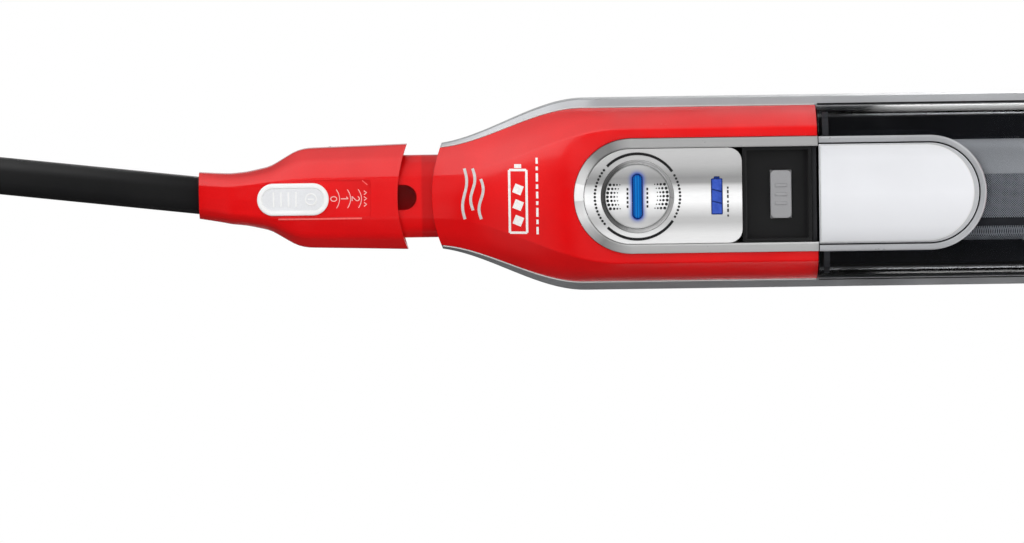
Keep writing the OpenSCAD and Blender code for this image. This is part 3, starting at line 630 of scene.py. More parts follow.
def printed(name, color, glow=0.0):
    """Ink of a printed mark, slightly uneven, with a painted glow of the given strength that brightens it."""
    look = Look(name)
    base = look.blend(look.fit(look.noise(1.5, 4), 0.35, 0.65, 0, 1), shade(color, 0.9), shade(color, 1.06))
    extra = {"Emission Color": (*color, 1), "Emission Strength": glow}
    look.principled(base, look.uneven(3, 3, 0.32, 0.48), look.bump(look.noise(0.25, 2), 0.003), extra=extra)


RED = (0.78, 0.0045, 0.006)
SILVER = (0.56, 0.57, 0.59)
RED_PAINT = dict(grain=(0.3, 0.0006), wear=1.2)


def make_looks():
    moulded("red_gloss", RED, 0.2, **RED_PAINT, peel=0.003, coat=0.35)
    moulded("red_neck", RED, 0.32, **RED_PAINT, shaded_below=SHOULDER_Z + 11, specular=0.3, coat=0.05)
    moulded("silver_satin", SILVER, 0.34, grain=(0.12, 0.002), metal=0.8, wear=1.3)
    bevelled_frame("bezel_silver")
    sensor_groove("groove_silver")
    moulded("rim_silver", (0.5, 0.51, 0.53), 0.3, grain=(0.1, 0.0008), metal=0.4, wear=1.15, edge=0.12)
    satin_panel("panel_silver")
    satin_pad("pad_silver", (0.78, 0.79, 0.82))
    lit_disc("disc_silver", (0.85, 0.86, 0.88))
    moulded("dark_plastic", (0.05, 0.05, 0.055), 0.5, grain=(0.5, 0.012), wear=2.2)
    moulded("black_plastic", (0.007, 0.007, 0.0075), 0.46, grain=(0.45, 0.01), wear=3.0)
    moulded("frame_grey", (0.72, 0.72, 0.71), 0.45, grain=(0.5, 0.008), wear=1.2)
    moulded("grey_plastic", (0.3, 0.3, 0.31), 0.45, grain=(0.5, 0.01), wear=1.5)
    moulded("white_plastic", (0.9, 0.9, 0.9), 0.3, grain=(0.3, 0.002), wear=1.1, coat=0.3)
    moulded("slider_grey", (0.76, 0.77, 0.79), 0.42, grain=(0.4, 0.006), wear=1.2)
    moulded("rubber", (0.022, 0.022, 0.022), 0.72, grain=(0.7, 0.03), wear=1.8)
    smoked("smoke")
    light_bar("blue_bar")
    battery_blue("battery_blue")
    battery_blue("battery_edge", 0.35)
    circuit_board("board")
    brushed("steel", (0.55, 0.55, 0.56), 0.32, (1, 0.05, 1))
    brushed("aluminium", (0.7, 0.7, 0.72), 0.35, (1, 1, 0.05))
    fibrous("filter_paper", (0.78, 0.77, 0.72), 0.8, 0.06)
    woven_mesh("mesh_steel")
    moulded("cells", (0.04, 0.32, 0.28), 0.3, grain=(1.2, 0.004), wear=1.4)
    fibrous("bristle", (0.42, 0.02, 0.02), 0.3, 0.05, sheen=0.4)
    fibrous("foam", (0.05, 0.05, 0.05), 1.2, 0.5)
    # the white ink has a faint painted glow that brightens it
    printed("ink_white", (0.86, 0.84, 0.82), 0.05)
    printed("ink_silver", (0.62, 0.6, 0.59))
    printed("ink_pink", (0.86, 0.55, 0.52))
    # pale red ink of the painted highlight line along the slider's recess
    printed("highlight_red", (0.9, 0.12, 0.11))
    printed("ink_black", (0.012, 0.012, 0.013))


# Slots whose CAD nodes take a look of another name
CARRIED_OVER = {"blue_light": "blue_bar", "panel_silver": "rim_silver"}

# CAD nodes that are seen from outside, with the radius of their rounded edges in millimetres
ROUNDED_NODES = {"head_base": 0.6, "tilt_yoke": 0.8, "neck_tube": 0.6, "finger_well": 0.5,
                 "brush_tunnel": 0.4, "tilt_pins": 0.3, "glide_pads": 0.3, "brush_cap": 0.5,
                 "charging_socket": 0.25}


def dress_cad_nodes():
    """Every carried-over CAD node gets its slot's material, and rounded edges where it is seen."""
    slots = {part["node"]: part["material_slot"] for part in frame["record"]["subparts"]}
    for name, ob in frame["nodes"].items():
        slot = slots[name]
        ob.data.materials.clear()
        ob.data.materials.append(looks[CARRIED_OVER.get(slot, slot)])
        if name in ROUNDED_NODES:
            weld = ob.modifiers.new("weld", "WELD")
            weld.merge_threshold = 0.005 * MM
            bevel_edges(ob, ROUNDED_NODES[name])


# ------------------------------------------------------------------ the body's outline

def top_t(z):
    """0 where the shoulders' taper begins, 1 at their top."""
    return clamp((z - SHOULDER_Z + 100) / 100)


def base_t(z):
    """1 at the body's base, 0 where its taper begins."""
    return clamp((BASE_Z + BASE_TAPER_H - z) / BASE_TAPER_H)


def rail_half(z):
    shoulder = SHOULDER_TAPER * smooth((top_t(z) - 0.03) / 1.05)
    return RAIL_HALF - shoulder - BASE_TAPER * base_t(z) ** 1.6


def shell_half(z):
    return rail_half(z) - RAIL_W + RAIL_NARROWING * top_t(z) ** 1.4


def crease_half(z):
    return 45 - 30.6 * smooth((z - SHOULDER_Z + 120) / 120) - 16 * base_t(z)


def front_y(z):
    return -BODY_FRONT + 29 * smooth((z - SHOULDER_Z + 105) / 105) + 16 * base_t(z)


def crease_y(z):
    return front_y(z) + 6 - 4.5 * top_t(z) - 2 * base_t(z)


def rim_y(z):
    return -PARTING + 10 * top_t(z) + 4 * base_t(z)


def back_y(z):
    return BODY_BACK - 26 * smooth((z - SHOULDER_Z + 120) / 120) - 8 * base_t(z)


def crown_y(x, z):
    """Front surface of the red shell between its creases."""
    return front_y(z) + (crease_y(z) - front_y(z)) * (x / crease_half(z)) ** 2


def front_ring(z, inset=0.0, back=0.0):
    """Section of the front shell: side walls, a slanted facet, a tight crease and a crowned face."""
    hw = shell_half(z) - inset
    cx = crease_half(z) - 0.6 * inset
    cy = crease_y(z) + inset
    fy = front_y(z) + inset
    ry = rim_y(z) - 0.25 + back
    mid_x, mid_y = mix(cx, hw, 0.62), mix(cy, rim_y(z), 0.45)
    crown = [(cx * i / 8, fy + (cy - fy) * (i / 8) ** 2, 0) for i in range(-7, 8)]
    left = [(-hw, ry, 0.5), (-mid_x, mid_y, 7), (-cx, cy, 1.1)]
    right = [(-x, y, s) for x, y, s in reversed(left)]
    return at_z(rounded(left + crown + right), z)


def rear_ring(z, inset=0.0, rim=0.0):
    """Section of the rear housing, whose rails slope away from the red shell."""
    hw = rail_half(z) - inset
    by = back_y(z) - inset
    ry = rim_y(z) + rim
    slope = 0 if inset else 2.6
    corner = 20 - 6 * top_t(z) - inset
    seam = min(shell_half(z) - inset, hw - 0.9)
    half = [(seam, ry, 0.3), (hw, ry + slope, 0.9), (hw, by, corner)]
    return at_z(rounded(half + [(-x, y, s) for x, y, s in reversed(half)], 6), z)


def heights(z0, z1, step=4.0):
    return spread(z0, z1, max(2, round((z1 - z0) / step)))


def neck_ring(z, hw, fy, by, cx):
    """Section of neck and handle housing: flat front and back, slanted sides, small radii."""
    wide = mix(cx, hw, 0.6)
    half = [(0.01, fy, 0), (cx, fy + 0.6, 1.6), (wide, 0.78 * fy, 4), (hw, -0.35 * by, 2.5),
            (hw, 0.35 * by, 2.5), (wide, 0.78 * by, 4), (cx, by, 2.5)]
    return at_z(rounded(half + [(-x, y, s) for x, y, s in reversed(half)]), z)


def slot_outline(r, z0, z1, steps=40):
    """Slot with round ends, in X and Z."""
    return arc(0, z1 - r, r, 0, 180, steps) + arc(0, z0 + r, r, 180, 360, steps)


def arched_edge(half, rise, z, wide, far):
    """Outline of what lies on far's side of an arched edge through (half, z) that peaks at z + rise."""
    r = (half * half + rise * rise) / (2 * rise)
    reach = math.degrees(math.asin(wide / r))
    bow = arc(0, z + rise - r, r, 90 + reach, 90 - reach, 48)
    return bow + [(wide, z + far), (-wide, z + far)]


def slot_rect(x0, x1, z0, z1, r, steps=5):
    """Rounded rectangle in X and Z."""
    r = min(r, 0.49 * (x1 - x0), 0.49 * (z1 - z0))
    return (arc(x1 - r, z1 - r, r, 0, 90, steps) + arc(x0 + r, z1 - r, r, 90, 180, steps)
            + arc(x0 + r, z0 + r, r, 180, 270, steps) + arc(x1 - r, z0 + r, r, 270, 360, steps))


def neck_section(z, grow=0.0, crease=13.5):
    """Section of the body's neck, larger all round by grow."""
    return neck_ring(z, 27.7 + grow, -20 - grow, 18 + grow, crease)


# ------------------------------------------------------------------ body pieces

SOCKET_Z = (low("charging_socket").z + high("charging_socket").z) / 2


def shoulder_cuts(front):
    """What is cut from both shells at the top: the arched edge, from front backward, and the neck's hole."""
    arch = prism(arched_edge(30.5, SHOULDER_RISE, SHOULDER_Z, 62, 60), front, 60)
    neck = loft([neck_section(z, GAP, 13.8) for z in (SHOULDER_Z - 30, SHOULDER_Z + 30)])
    return [arch, neck]


def make_front_shell():
    """Hollow red front shell, with a window for the panel's frame."""
    z0 = SPLIT_Z + GAP
    shell = solid("red_front_shell", loft([front_ring(z) for z in heights(z0, SHOULDER_Z + 6)]))
    inner = loft([front_ring(z, WALL, 6) for z in heights(z0 - 6, SHOULDER_Z - 4, 8)])
    window = prism(slot_outline(FRAME_R + GAP, SPLIT_Z - 90, FRAME_Z + FRAME_R + GAP), -90, -20)
    carve(shell, inner, *shoulder_cuts(-90), window)
    dress(shell, "red_gloss", "body", "red_gloss", "front_shell", crease=40)


def mouth_ring(z):
    """Section of the opening between the rails, where the front shell and the container sit."""
    half = shell_half(z) - WALL
    return at_z([(-half, rim_y(z) - 3), (half, rim_y(z) - 3), (half, rim_y(z) + 8), (-half, rim_y(z) + 8)], z)


def make_rear_housing():
    """Hollow silver rear housing, with openings for the exhaust, the charging socket and the screws."""
    z0 = BASE_Z + CAP_H
    shell = solid("silver_rear_housing", loft([rear_ring(z) for z in heights(z0, SHOULDER_Z + 6)]))
    hollow = loft([rear_ring(z, WALL, 6) for z in heights(z0 - 4, SHOULDER_Z - 6, 8)])
    mouth = loft([mouth_ring(z) for z in heights(z0 - 4, SHOULDER_Z - 6, 8)])
    lo, hi = low("exhaust_grille"), high("exhaust_grille")
    window = box_mesh((lo.x - GAP, lo.y - 10, lo.z - GAP), (hi.x + GAP, hi.y + 20, hi.z + GAP))
    socket = rod(6.5, -8, 12, (0, BODY_BACK, SOCKET_Z), "y")
    screw = [(0.01, -6), (1.6, -6), (1.6, -1.3), (3.4, -1.3), (3.4, 8), (0.01, 8)]
    screws = [lathe(screw, (x, BODY_BACK, BASE_Z + height), "y", 24)
              for x in (-30, 30) for height in (72, 192, 352)]
    carve(shell, hollow, mouth, *shoulder_cuts(-60), window, socket, join(*screws))
    dress(shell, "silver_satin", "body", "silver_satin", "rear_housing", crease=40)


def make_bottom_cap():
    """Dark cap that closes the body's lower end, with a collar that the neck tube slides into."""
    neck_y = (low("neck_tube").y + high("neck_tube").y) / 2
    bore_r = 18.3
    bore = rod(bore_r, -10, 60, (0, neck_y, BASE_Z), "z")
    front_part = loft([front_ring(z) for z in heights(BASE_Z, CONTAINER_BASE_Z - 1.5, 3)])
    rear_part = loft([rear_ring(z, rim=-1) for z in heights(BASE_Z, BASE_Z + CAP_H - GAP, 3)])
    front_part = carve(solid("bottom_cap_front", front_part), bore)
    dress(front_part, "dark_plastic", "body", "dark_plastic", "bottom_cap", edge=0.5)
    rear_part = carve(solid("bottom_cap_rear", rear_part), bore)
    dress(rear_part, "dark_plastic", "body", "dark_plastic", edge=0.5)
    outer_r = bore_r + 2.2
    profile = [(bore_r, -8), (outer_r - 0.8, -8), (outer_r, -7), (outer_r, 12), (bore_r, 12), (bore_r, -8)]
    collar = lathe(profile, (0, neck_y, BASE_Z), "z")
    piece("bottom_cap_collar", collar, "dark_plastic", "body", "dark_plastic")


def side_beads(z0, z1, sideways, back, r):
    """Round beads up both sides of the body, shifted from the joint between its shells."""
    beads = []
    for side in (-1, 1):
        rings = [at_z(arc(side * (shell_half(z) + sideways), rim_y(z) + back, r, 0, 330, 11), z)
                 for z in heights(z0, z1)]
        beads.append(loft(rings))
    return join(*beads)


def make_shell_bead():
    """Thin pale bead between the red shell and the rails, a real bead whose pale grey stands in as a painted
    highlight line along the shell's edge, and a dark seal beside the container.
    """
    bead = side_beads(SPLIT_Z + 1, SHOULDER_Z - 2, 0.35, 0.1, 0.42)
    piece("rail_highlight_bead", bead, "frame_grey", "body", "silver_satin", crease=60)
    seam = side_beads(CONTAINER_BASE_Z + 4, SPLIT_Z - 1, 0.6, -0.2, 0.5)
    piece("container_seam", seam, "black_plastic", "body", "rubber", crease=60)


def make_neck():
    """Hollow red neck on a wider foot, with the keyway in front and a latch notch behind."""
    rings = [neck_ring(SHOULDER_Z + rise, 31, -23, 20, 15) for rise in (-24, -18)]
    rings += [neck_section(z) for z in heights(SHOULDER_Z - 18, SHOULDER_Z + 64, 10)]
    rings.append(neck_ring(SHOULDER_Z + 65, 26.9, -19.3, 17.3, 13))
    neck = solid("red_neck", loft(rings))
    hollow = loft([neck_section(z, -2.7, 12) for z in (SHOULDER_Z - 30, SHOULDER_Z + 80)])
    keyway_r = 8.4
    keyway_z = SHOULDER_Z + 23.7
    key = arc(0, keyway_z, keyway_r, 180, 360, 32) + [(keyway_r, keyway_z + 60), (-keyway_r, keyway_z + 60)]
    notch_z = HANDLE_Z + 7
    notch = box_mesh((-6.6, 16.6, notch_z), (6.6, 24, notch_z + 6.6))
    carve(neck, hollow, prism(key, -40, -10), notch)
    dress(neck, "red_neck", "body", "red_gloss", "neck_spigot", crease=40)


def u_path(r, z_round, z_open, steps=48):
    """Points and outward normals of a U: round at z_round, with straight sides to z_open."""
    up = 1 if z_round > z_open else -1
    path = [((-r, z_open), (-1, 0))]
    for a in spread(180, 0, steps):
        n = (math.cos(math.radians(a)), up * math.sin(math.radians(a)))
        path.append(((r * n[0], z_round + r * n[1]), n))
    return path + [((r, z_open), (1, 0))]


def sweep_u(r, z_round, z_open, profile):
    """A rail along a U, with its section given as (inward from the outer edge, y)."""
    rings = [[(p[0] - n[0] * inward, y, p[1] - n[1] * inward) for inward, y in profile]
             for p, n in u_path(r, z_round, z_open)]
    return loft(rings)


def make_panel_frame():
    """Bevelled silver frame round the display panel, open where it meets the container's rim."""
    outer_y, inner_y, root_y = -52.1, low("panel_frame").y, -46
    section = rounded([(0, root_y, 0), (0, outer_y, 0.5), (BEVEL - 0.9, inner_y - 0.1, 0.5),
                       (BEVEL, inner_y + 0.15, 0.3), (BEVEL, inner_y + 2.5, 0), (BEVEL - 1.5, root_y, 0)], 3)
    shape = sweep_u(FRAME_R, FRAME_Z, SPLIT_Z + GAP, section)
    piece("bezel", shape, "bezel_silver", "body", "panel_silver", "panel_frame", crease=50)


def d_outline(r, z_round, z_flat, corner, inset=0.0):
    """Outline with a round end at z_round's side and a flat end with rounded corners."""
    up = 1 if z_round > z_flat else -1
    rr = r - inset
    cr = max(0.3, corner - inset)
    end = z_flat + up * inset
    outline = [(x, z_round + up * (z - z_round)) for x, z in arc(0, z_round, rr, 0, 180, 40)]
    for x, start in ((cr - rr, 180), (rr - cr, 270)):
        outline += [(px, end + up * (cr + pz)) for px, pz in arc(x, 0, cr, start, start + 90, 6)]
    return outline


def crowned_plate(outline_at, y_back, y_front, round_mm=0.6, crown=0.0, reach=12.0):
    """A plate across Y with rounded front edges: outline_at(inset) gives its outline at each inset."""
    rows = [(0.0, y_back), (0.0, y_front + round_mm)]
    rows += [(round_mm * (1 - math.cos(a)), y_front + round_mm * (1 - math.sin(a)))
             for a in spread(0.25, math.pi / 2, 5)]
    if crown:
        rows += [(round_mm + reach * t, y_front - crown * math.sin(t * math.pi / 2))
                 for t in spread(0.1, 1, 8)]
    return loft([[(x, y, z) for x, z in outline_at(inset)] for inset, y in rows])


def make_control_panel():
    """Display panel with its openings for the sensor and the battery light."""
    panel = solid("display_panel", crowned_plate(
        lambda inset: d_outline(PANEL_R, FRAME_Z, PANEL_END_Z, 9, inset), -54, PANEL_Y, 0.5, 0.35, 14))
    hole = rod(RING_R + 0.1, -10, 10, (0, PANEL_Y, SENSOR_Z), "y", 96)
    lo, hi = low("battery_light"), high("battery_light")
    middle = (lo.z + hi.z) / 2
    window = prism(slot_rect(lo.x - 0.4, hi.x - 1.2, lo.z - GAP, hi.z + GAP, 0.8), PANEL_Y - 5, -50)
    nub = prism(slot_rect(hi.x - 3, hi.x + 0.2, middle - 2.1, middle + 2.1, 0.7), PANEL_Y - 5, -50)
    carve(panel, hole, window, nub)
    dress(panel, "panel_silver", "body", "panel_silver", "control_panel", crease=40)


def bar_outline(inset):
    """Outline of the sensor's light bar, which lies across the body."""
    slot = slot_outline(BAR_R - inset, inset - BAR_HALF, BAR_HALF - inset, 20)
    return [(z, x + SENSOR_Z) for x, z in slot]


def make_sensor():
    """Groove ring, satin disc and blue light bar of the sensor display."""
    y = PANEL_Y
    groove = [(RING_R, 1.6), (RING_R, 0.1), (24.15, -0.15), (23.7, -0.2), (23.3, 0.1), (22.8, 0.9),
              (22.3, 1.0), (21.9, 0.5), (21.6, 0.2), (21.6, 1.9), (RING_R, 1.9)]
    ring = lathe([(r, y + d) for r, d in groove], (0, 0, SENSOR_Z), "y", 96)
    piece("sensor_groove", ring, "groove_silver", "body", "grey_plastic", "sensor_ring", crease=70)
    r = SENSOR_R
    dome = [(0.01, 2.8), (r, 2.8), (r, 1.1), (r - 0.3, 0.75), (20, 0.5), (14, 0.2), (0.01, 0.05)]
    disc = solid("sensor_disc_satin", lathe([(x, y + d) for x, d in dome], (0, 0, SENSOR_Z), "y", 96))
    carve(disc, prism(bar_outline(-GAP), y - 5, y + 5))
    dress(disc, "disc_silver", "body", "panel_silver", "sensor_disc", crease=40)
    light = crowned_plate(bar_outline, y + 2.8, y - 0.1, 0.5, 0.15, 1.5)
    piece("light_pipe", light, "blue_bar", "body", "blue_light", "sensor_light", crease=50)


def battery_segment(i, lo, hi, width, y):
    """One of the three segments: its inner edges slant, and its outer ones are upright."""
    border, slant, split = 0.5, 0.8, 0.9
    edges = []
    for k, inward in ((i, 1), (i + 1, -1)):
        outer = k in (0, 3)
        edges.append((lo.x + k * width + inward * (border if outer else split / 2), 0 if outer else slant))
    (a, lean_a), (b, lean_b) = edges
    outline = [(a - lean_a, lo.z + border), (b - lean_b, lo.z + border), (b + lean_b, hi.z - border),
               (a + lean_a, hi.z - border)]
    return prism(outline, *y)


def make_battery_light():
    """Three slanted segments and a small terminal, on a darker border."""
    lo, hi = low("battery_light"), high("battery_light")
    end = hi.x - 1.4
    middle = (lo.z + hi.z) / 2
    front, back = PANEL_Y - 0.25, PANEL_Y + 2.9
    parts = [battery_segment(i, lo, hi, (end - lo.x) / 3, (front, back)) for i in range(3)]
    piece("battery_segments", join(*parts), "battery_blue", "body", "blue_light", "battery_light", edge=0.1)
    backing = prism(slot_rect(lo.x - 0.3, end + 0.1, lo.z - 0.2, hi.z + 0.2, 0.7), front + 0.15, back)
    nub = prism(slot_rect(end - 0.5, hi.x, middle - 1.9, middle + 1.9, 0.6), front + 0.1, back)
    piece("battery_border", join(backing, nub), "battery_edge", "body", "blue_light", edge=0.1)


def make_button():
    """Grey release button with rounded ends and three grip ribs."""
    lo, hi = low("container_button"), high("container_button")
    middle = (lo.z + hi.z) / 2
    half_x, half_z = 16, 7

    def outline(inset):
        return slot_rect(inset - half_x, half_x - inset, middle - half_z + inset, middle + half_z - inset,
                         3 - 0.35 * inset)

    def rib(x):
        z0, z1 = middle - half_z + 3, middle + half_z - 3
        return crowned_plate(lambda i: slot_rect(x - 1 + i, x + 1 - i, z0 + i, z1 - i, 0.9),
                             lo.y + 2, lo.y + 0.05, 0.3)
    cap = crowned_plate(outline, lo.y + 6, lo.y + 1.1, 0.7, 0.3, 5)
    flange = crowned_plate(lambda i: slot_rect(i - half_x - 2, half_x + 2 - i, lo.z + i, hi.z - i, 1),
                           hi.y, hi.y - 1.5, 0.2)
    piece("release_button", join(cap, flange, *[rib(x) for x in (-6, 0, 6)]), "grey_plastic", "button",
          "grey_plastic", "container_button", crease=50)


def coil(x, z, r, wire, y0, y1, turns):
    """A wire spring along Y, with its first and last quarter turn pressed flat."""
    rings = []
    for t in spread(0, 1, turns * 20):
        a = t * turns * math.tau
        run = clamp((t * turns - 0.25) / (turns - 0.5))
        y = mix(y0 + wire, y1 - wire, run)
        out = Vector((math.cos(a), 0, math.sin(a)))
        centre = Vector((x, y, z)) + out * r
        ring = [centre + out * wire * math.cos(b) + Vector((0, wire * math.sin(b), 0))
                for b in spread(0, math.tau, 8)[:-1]]
        rings.append([tuple(point) for point in ring])
    return loft(rings)


def make_button_springs():
    """Two wire springs behind the release button, made at rest, though on the real thing they flatten as it
    is pressed.
    """
    lo, hi = low("button_spring"), high("button_spring")
    z = (lo.z + hi.z) / 2
    coils = [coil(x, z, 2.6, 0.3, lo.y, hi.y, 3) for x in (-10, 10)]
    springs = piece("button_coils", join(*coils), "steel", "body", "steel", "button_spring", crease=60)
    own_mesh(springs)


# ------------------------------------------------------------------ dust container

TONGUE = 3.2
INLET_Z = CONTAINER_BASE_Z + 34
INLET_R = 13


def container_ring(z, inset=0.0, back=0.0):
    """Rounded front between tongues that fit the body's mouth."""
    hw = shell_half(z) - inset
    fy = front_y(z) + inset
    ry = rim_y(z) - inset
    by = CONTAINER_BACK + back
    bow = []
    for a in spread(0, 180, 60):
        c, s = math.cos(math.radians(a)), math.sin(math.radians(a))
        bow.append((-hw * math.copysign(abs(c) ** 0.55, c), ry - 0.8 + (fy - ry + 0.8) * max(0, s) ** 0.55))
    tongue_x = hw - TONGUE
    return at_z([(-tongue_x, by), (-tongue_x, ry)] + bow + [(tongue_x, ry), (tongue_x, by)], z)


def make_container():
    """Clear tub, open at its top, with the air inlet's hole in its back."""
    outer_levels = heights(CONTAINER_BASE_Z, CONTAINER_TOP_Z, 6)
    tub = solid("clear_container", loft([container_ring(z) for z in outer_levels]))
    wall = 2
    inner_levels = heights(CONTAINER_BASE_Z + wall, CONTAINER_TOP_Z + 5, 8)
    inner = loft([container_ring(z, wall, -wall) for z in inner_levels])
    inlet = rod(INLET_R, -8, 8, (0, 0, INLET_Z), "y")
    carve(tub, inner, inlet)
    dress(tub, "smoke", "container", "smoke", "dust_container", crease=35)


def make_bay_wall():
    """Dark wall behind the container, with the hole that the inlet's air passes through."""
    outline = slot_rect(-50, 50, CONTAINER_BASE_Z + 2, CONTAINER_TOP_Z - 1, 4)
    wall = solid("bay_wall", prism(outline, 0.4, 1.4))
    carve(wall, rod(INLET_R + 1, -8, 8, (0, 0, INLET_Z), "y"))
    dress(wall, "dark_plastic", "body", "dark_plastic")


def filter_strip(start, end, z0, z1, side=1):
    """A thin strip round one end of the filter, between two angles from its front."""
    r = (high("filter_mesh").y - low("filter_mesh").y) / 2
    spread_x = high("filter_mesh").x - r
    y = (high("filter_mesh").y + low("filter_mesh").y) / 2
    turned = [math.radians(a) for a in spread(start, end, 16)]

    def bend(radius, angles):
        return [(side * (spread_x + radius * math.sin(a)), y - radius * math.cos(a)) for a in angles]
    section = bend(r + 0.5, turned) + bend(r + 0.05, reversed(turned))
    return loft([at_z(section, z) for z in (z0, z1)])


def make_filter_frame():
    """Pale frame strips and rims on the mesh filter, and a dark bar between its two mesh panes."""
    z0, z1 = low("filter_mesh").z, high("filter_mesh").z
    pale = [filter_strip(-4, 92, z0, z1), filter_strip(150, 180, z0, z1), filter_strip(150, 180, z0, z1, -1)]
    pale += [filter_strip(0, 180, a, b, side) for side in (-1, 1) for a, b in ((z0, z0 + 1.5), (z1 - 4, z1))]
    piece("filter_frame_strips", join(*pale), "frame_grey", "container", "mesh_steel")
    dark = filter_strip(14, 30, z0 + 1.5, z1 - 4, -1)
    piece("filter_dark_bar", dark, "dark_plastic", "container", "dark_plastic")


def make_container_frame():
    """Silver rim round the container's pad, with a dark groove, and the satin pad."""
    y = low("container_frame").y
    z_round = PAD_Z + FRAME_R
    rim = rounded([(0, y + 3.2, 0), (0, y + 0.7, 0.6), (1.2, y, 0.8), (4.1, y + 0.5, 0.5),
                   (4.3, y + 3.2, 0)], 3)
    shape = sweep_u(FRAME_R, z_round, CONTAINER_TOP_Z, rim)
    piece("container_rim", shape, "rim_silver", "container", "panel_silver", "container_frame", crease=50)
    groove = [(4.2, y + 2.6), (4.2, y + 3.2), (5.4, y + 3.2), (5.4, y + 2.6)]
    piece("rim_groove", sweep_u(FRAME_R, z_round, CONTAINER_TOP_Z, groove), "black_plastic", "container",
          "black_plastic")
    r = FRAME_R - 5.2
    front = low("container_pad").y

    def outline(inset, rise, yy):
        return [(x, yy, z) for x, z in d_outline(r, z_round + rise, CONTAINER_TOP_Z, 0.4, inset)]
    rows = [(0, 0, y + 3.3), (0, 0, front + 1.5), (0.3, 0, front + 1.1), (0.9, 2.3, front + 0.6),
            (1.15, 2.5, front + 0.35), (1.8, 2.9, front + 0.08), (9, 3, front), (20, 3, front)]
    pad = loft([outline(*row) for row in rows])
    piece("satin_pad", pad, "pad_silver", "container", "panel_silver", "container_pad", crease=28)
    bevel = loft([outline(0.32, 0.02, front + 1.02), outline(0.88, 2.28, front + 0.55)], caps=False)
    piece("pad_bevel", bevel, "rim_silver", "container", "panel_silver")
    line = loft([outline(0.88, 2.28, front + 0.54), outline(1.14, 2.5, front + 0.29)], caps=False)
    piece("pad_line", line, "frame_grey", "container", "panel_silver")


# ------------------------------------------------------------------ handle

# Sections of the handle housing: height above its rim, half width, front, back, crease
HOUSING = [
    (0, 35.3, -28.5, 26.5, 13.6), (30, 34.4, -28, 26, 13.2), (68, 33.4, -27.6, 25, 13),
    (75, 31.6, -27.3, 24.6, 13), (82, 27.5, -27, 24, 12.8), (92, 21.5, -26, 23, 12.4),
    (108, 18, -23, 21, 10.5), (125, 16.4, -19.5, 20.5, 9), (140, 15.6, -17, 21, 8)]


def housing_at(h):
    """Half width, front, back and crease of the handle housing at height h above its rim."""
    def read(g):
        for a, b in zip(HOUSING, HOUSING[1:]):
            if g <= b[0]:
                t = clamp((g - a[0]) / (b[0] - a[0]))
                return [mix(p, q, t) for p, q in zip(a[1:], b[1:])]
        return list(HOUSING[-1][1:])
    near = [read(h + d) for d in (-3, -1.5, 0, 1.5, 3)]
    return [sum(values) / len(near) for values in zip(*near)]


def housing_ring(h):
    """Section of the handle housing at height h, which leans with the tube at its upper end."""
    shear = max(0, h - 118)
    ring = neck_ring(HANDLE_Z + h, *housing_at(h))
    return [(x + shear * math.tan(LEAN), y + shear * math.tan(BACK_LEAN), z) for x, y, z in ring]


def in_tube(shape):
    """Moves a shape made along +Z from the origin to the black tube's leaning frame."""
    turn = Matrix.Translation(TUBE_BASE) @ TUBE_TURN
    return [tuple(turn @ Vector(v)) for v in shape[0]], shape[1]


def section_ring(w, d, r, z, steps=6):
    """Rounded rectangle across Z."""
    cx, cy = w / 2 - r, d / 2 - r
    points = []
    for x, y, start in ((cx, cy, 0), (-cx, cy, 90), (-cx, -cy, 180), (cx, -cy, 270)):
        points += arc(x, y, r, start, start + 90, steps)
    return at_z(points, z)


SCREW_SPOTS = [(x, HANDLE_Z + h) for x in (-31.4, 31.4) for h in (20, 52)]
RECESS_HALF = 12.5
RECESS_LO, RECESS_HI = HANDLE_Z + 24.5, HANDLE_Z + 106.5
RECESS_FLOOR = -26.3
DIAL_Z = HANDLE_Z + 42


def housing_cuts():
    """What is cut from both halves: the arched rim, the neck's bore, a chamber and the tube's socket."""
    arch = prism(arched_edge(35.3, 6.5, HANDLE_Z, 50, -40), -60, 60)
    bore = loft([neck_section(z, 0.4, 13.8) for z in (HANDLE_Z - 20, HANDLE_Z + 69)])
    flare = loft([neck_ring(HANDLE_Z + h, 28 + f, -20.4 - f, 18.4 + f, 13.8)
                  for h, f in ((-20, 4.5), (8, 4.5), (14, 0))])
    chamber = box_mesh((-12, -16, HANDLE_Z + 71), (12, 14, HANDLE_Z + 113))
    tube = in_tube(loft([section_ring(25.2, 30.6, 9, z) for z in (-1, 59)]))
    return [arch, bore, flare, chamber, tube]


def recess_cuts():
    """The slider's recess in the front half, and the slot that its stem runs in."""
    recess = slot_rect(-RECESS_HALF, RECESS_HALF, RECESS_LO, RECESS_HI, 2.2)
    return [prism(recess, -40, RECESS_FLOOR), box_mesh((-3, -40, HANDLE_Z + 71.5), (3, 0, SLIDER_TOP - 2))]


def rear_cuts():
    """The release lever's window in the rear half, and its screw holes."""
    z = low("release_lever").z
    holes = [rod(3, 8, 40, (x, 0, hole_z), "y", 24) for x, hole_z in SCREW_SPOTS]
    return [box_mesh((-8.3, 10, z - 3), (8.3, 50, z + 49)), join(*holes)]


def make_handle_housing():
    """The red housing's front and rear halves, which meet in the middle."""
    for name, node, y0, y1, own_cuts in (("handle_shell_front", "handle_front", -60, 0, recess_cuts()),
                                         ("handle_shell_rear", "handle_rear", GAP, 60, rear_cuts())):
        shell = solid(name, loft([housing_ring(h) for h in heights(0, 140, 3.5)]))
        carve(shell, box_mesh((-60, y0, HANDLE_Z - 9), (60, y1, HANDLE_Z + 200)), keep_inside=True)
        carve(shell, *housing_cuts(), *own_cuts)
        dress(shell, "red_gloss", "handle", "red_gloss", node, crease=40)


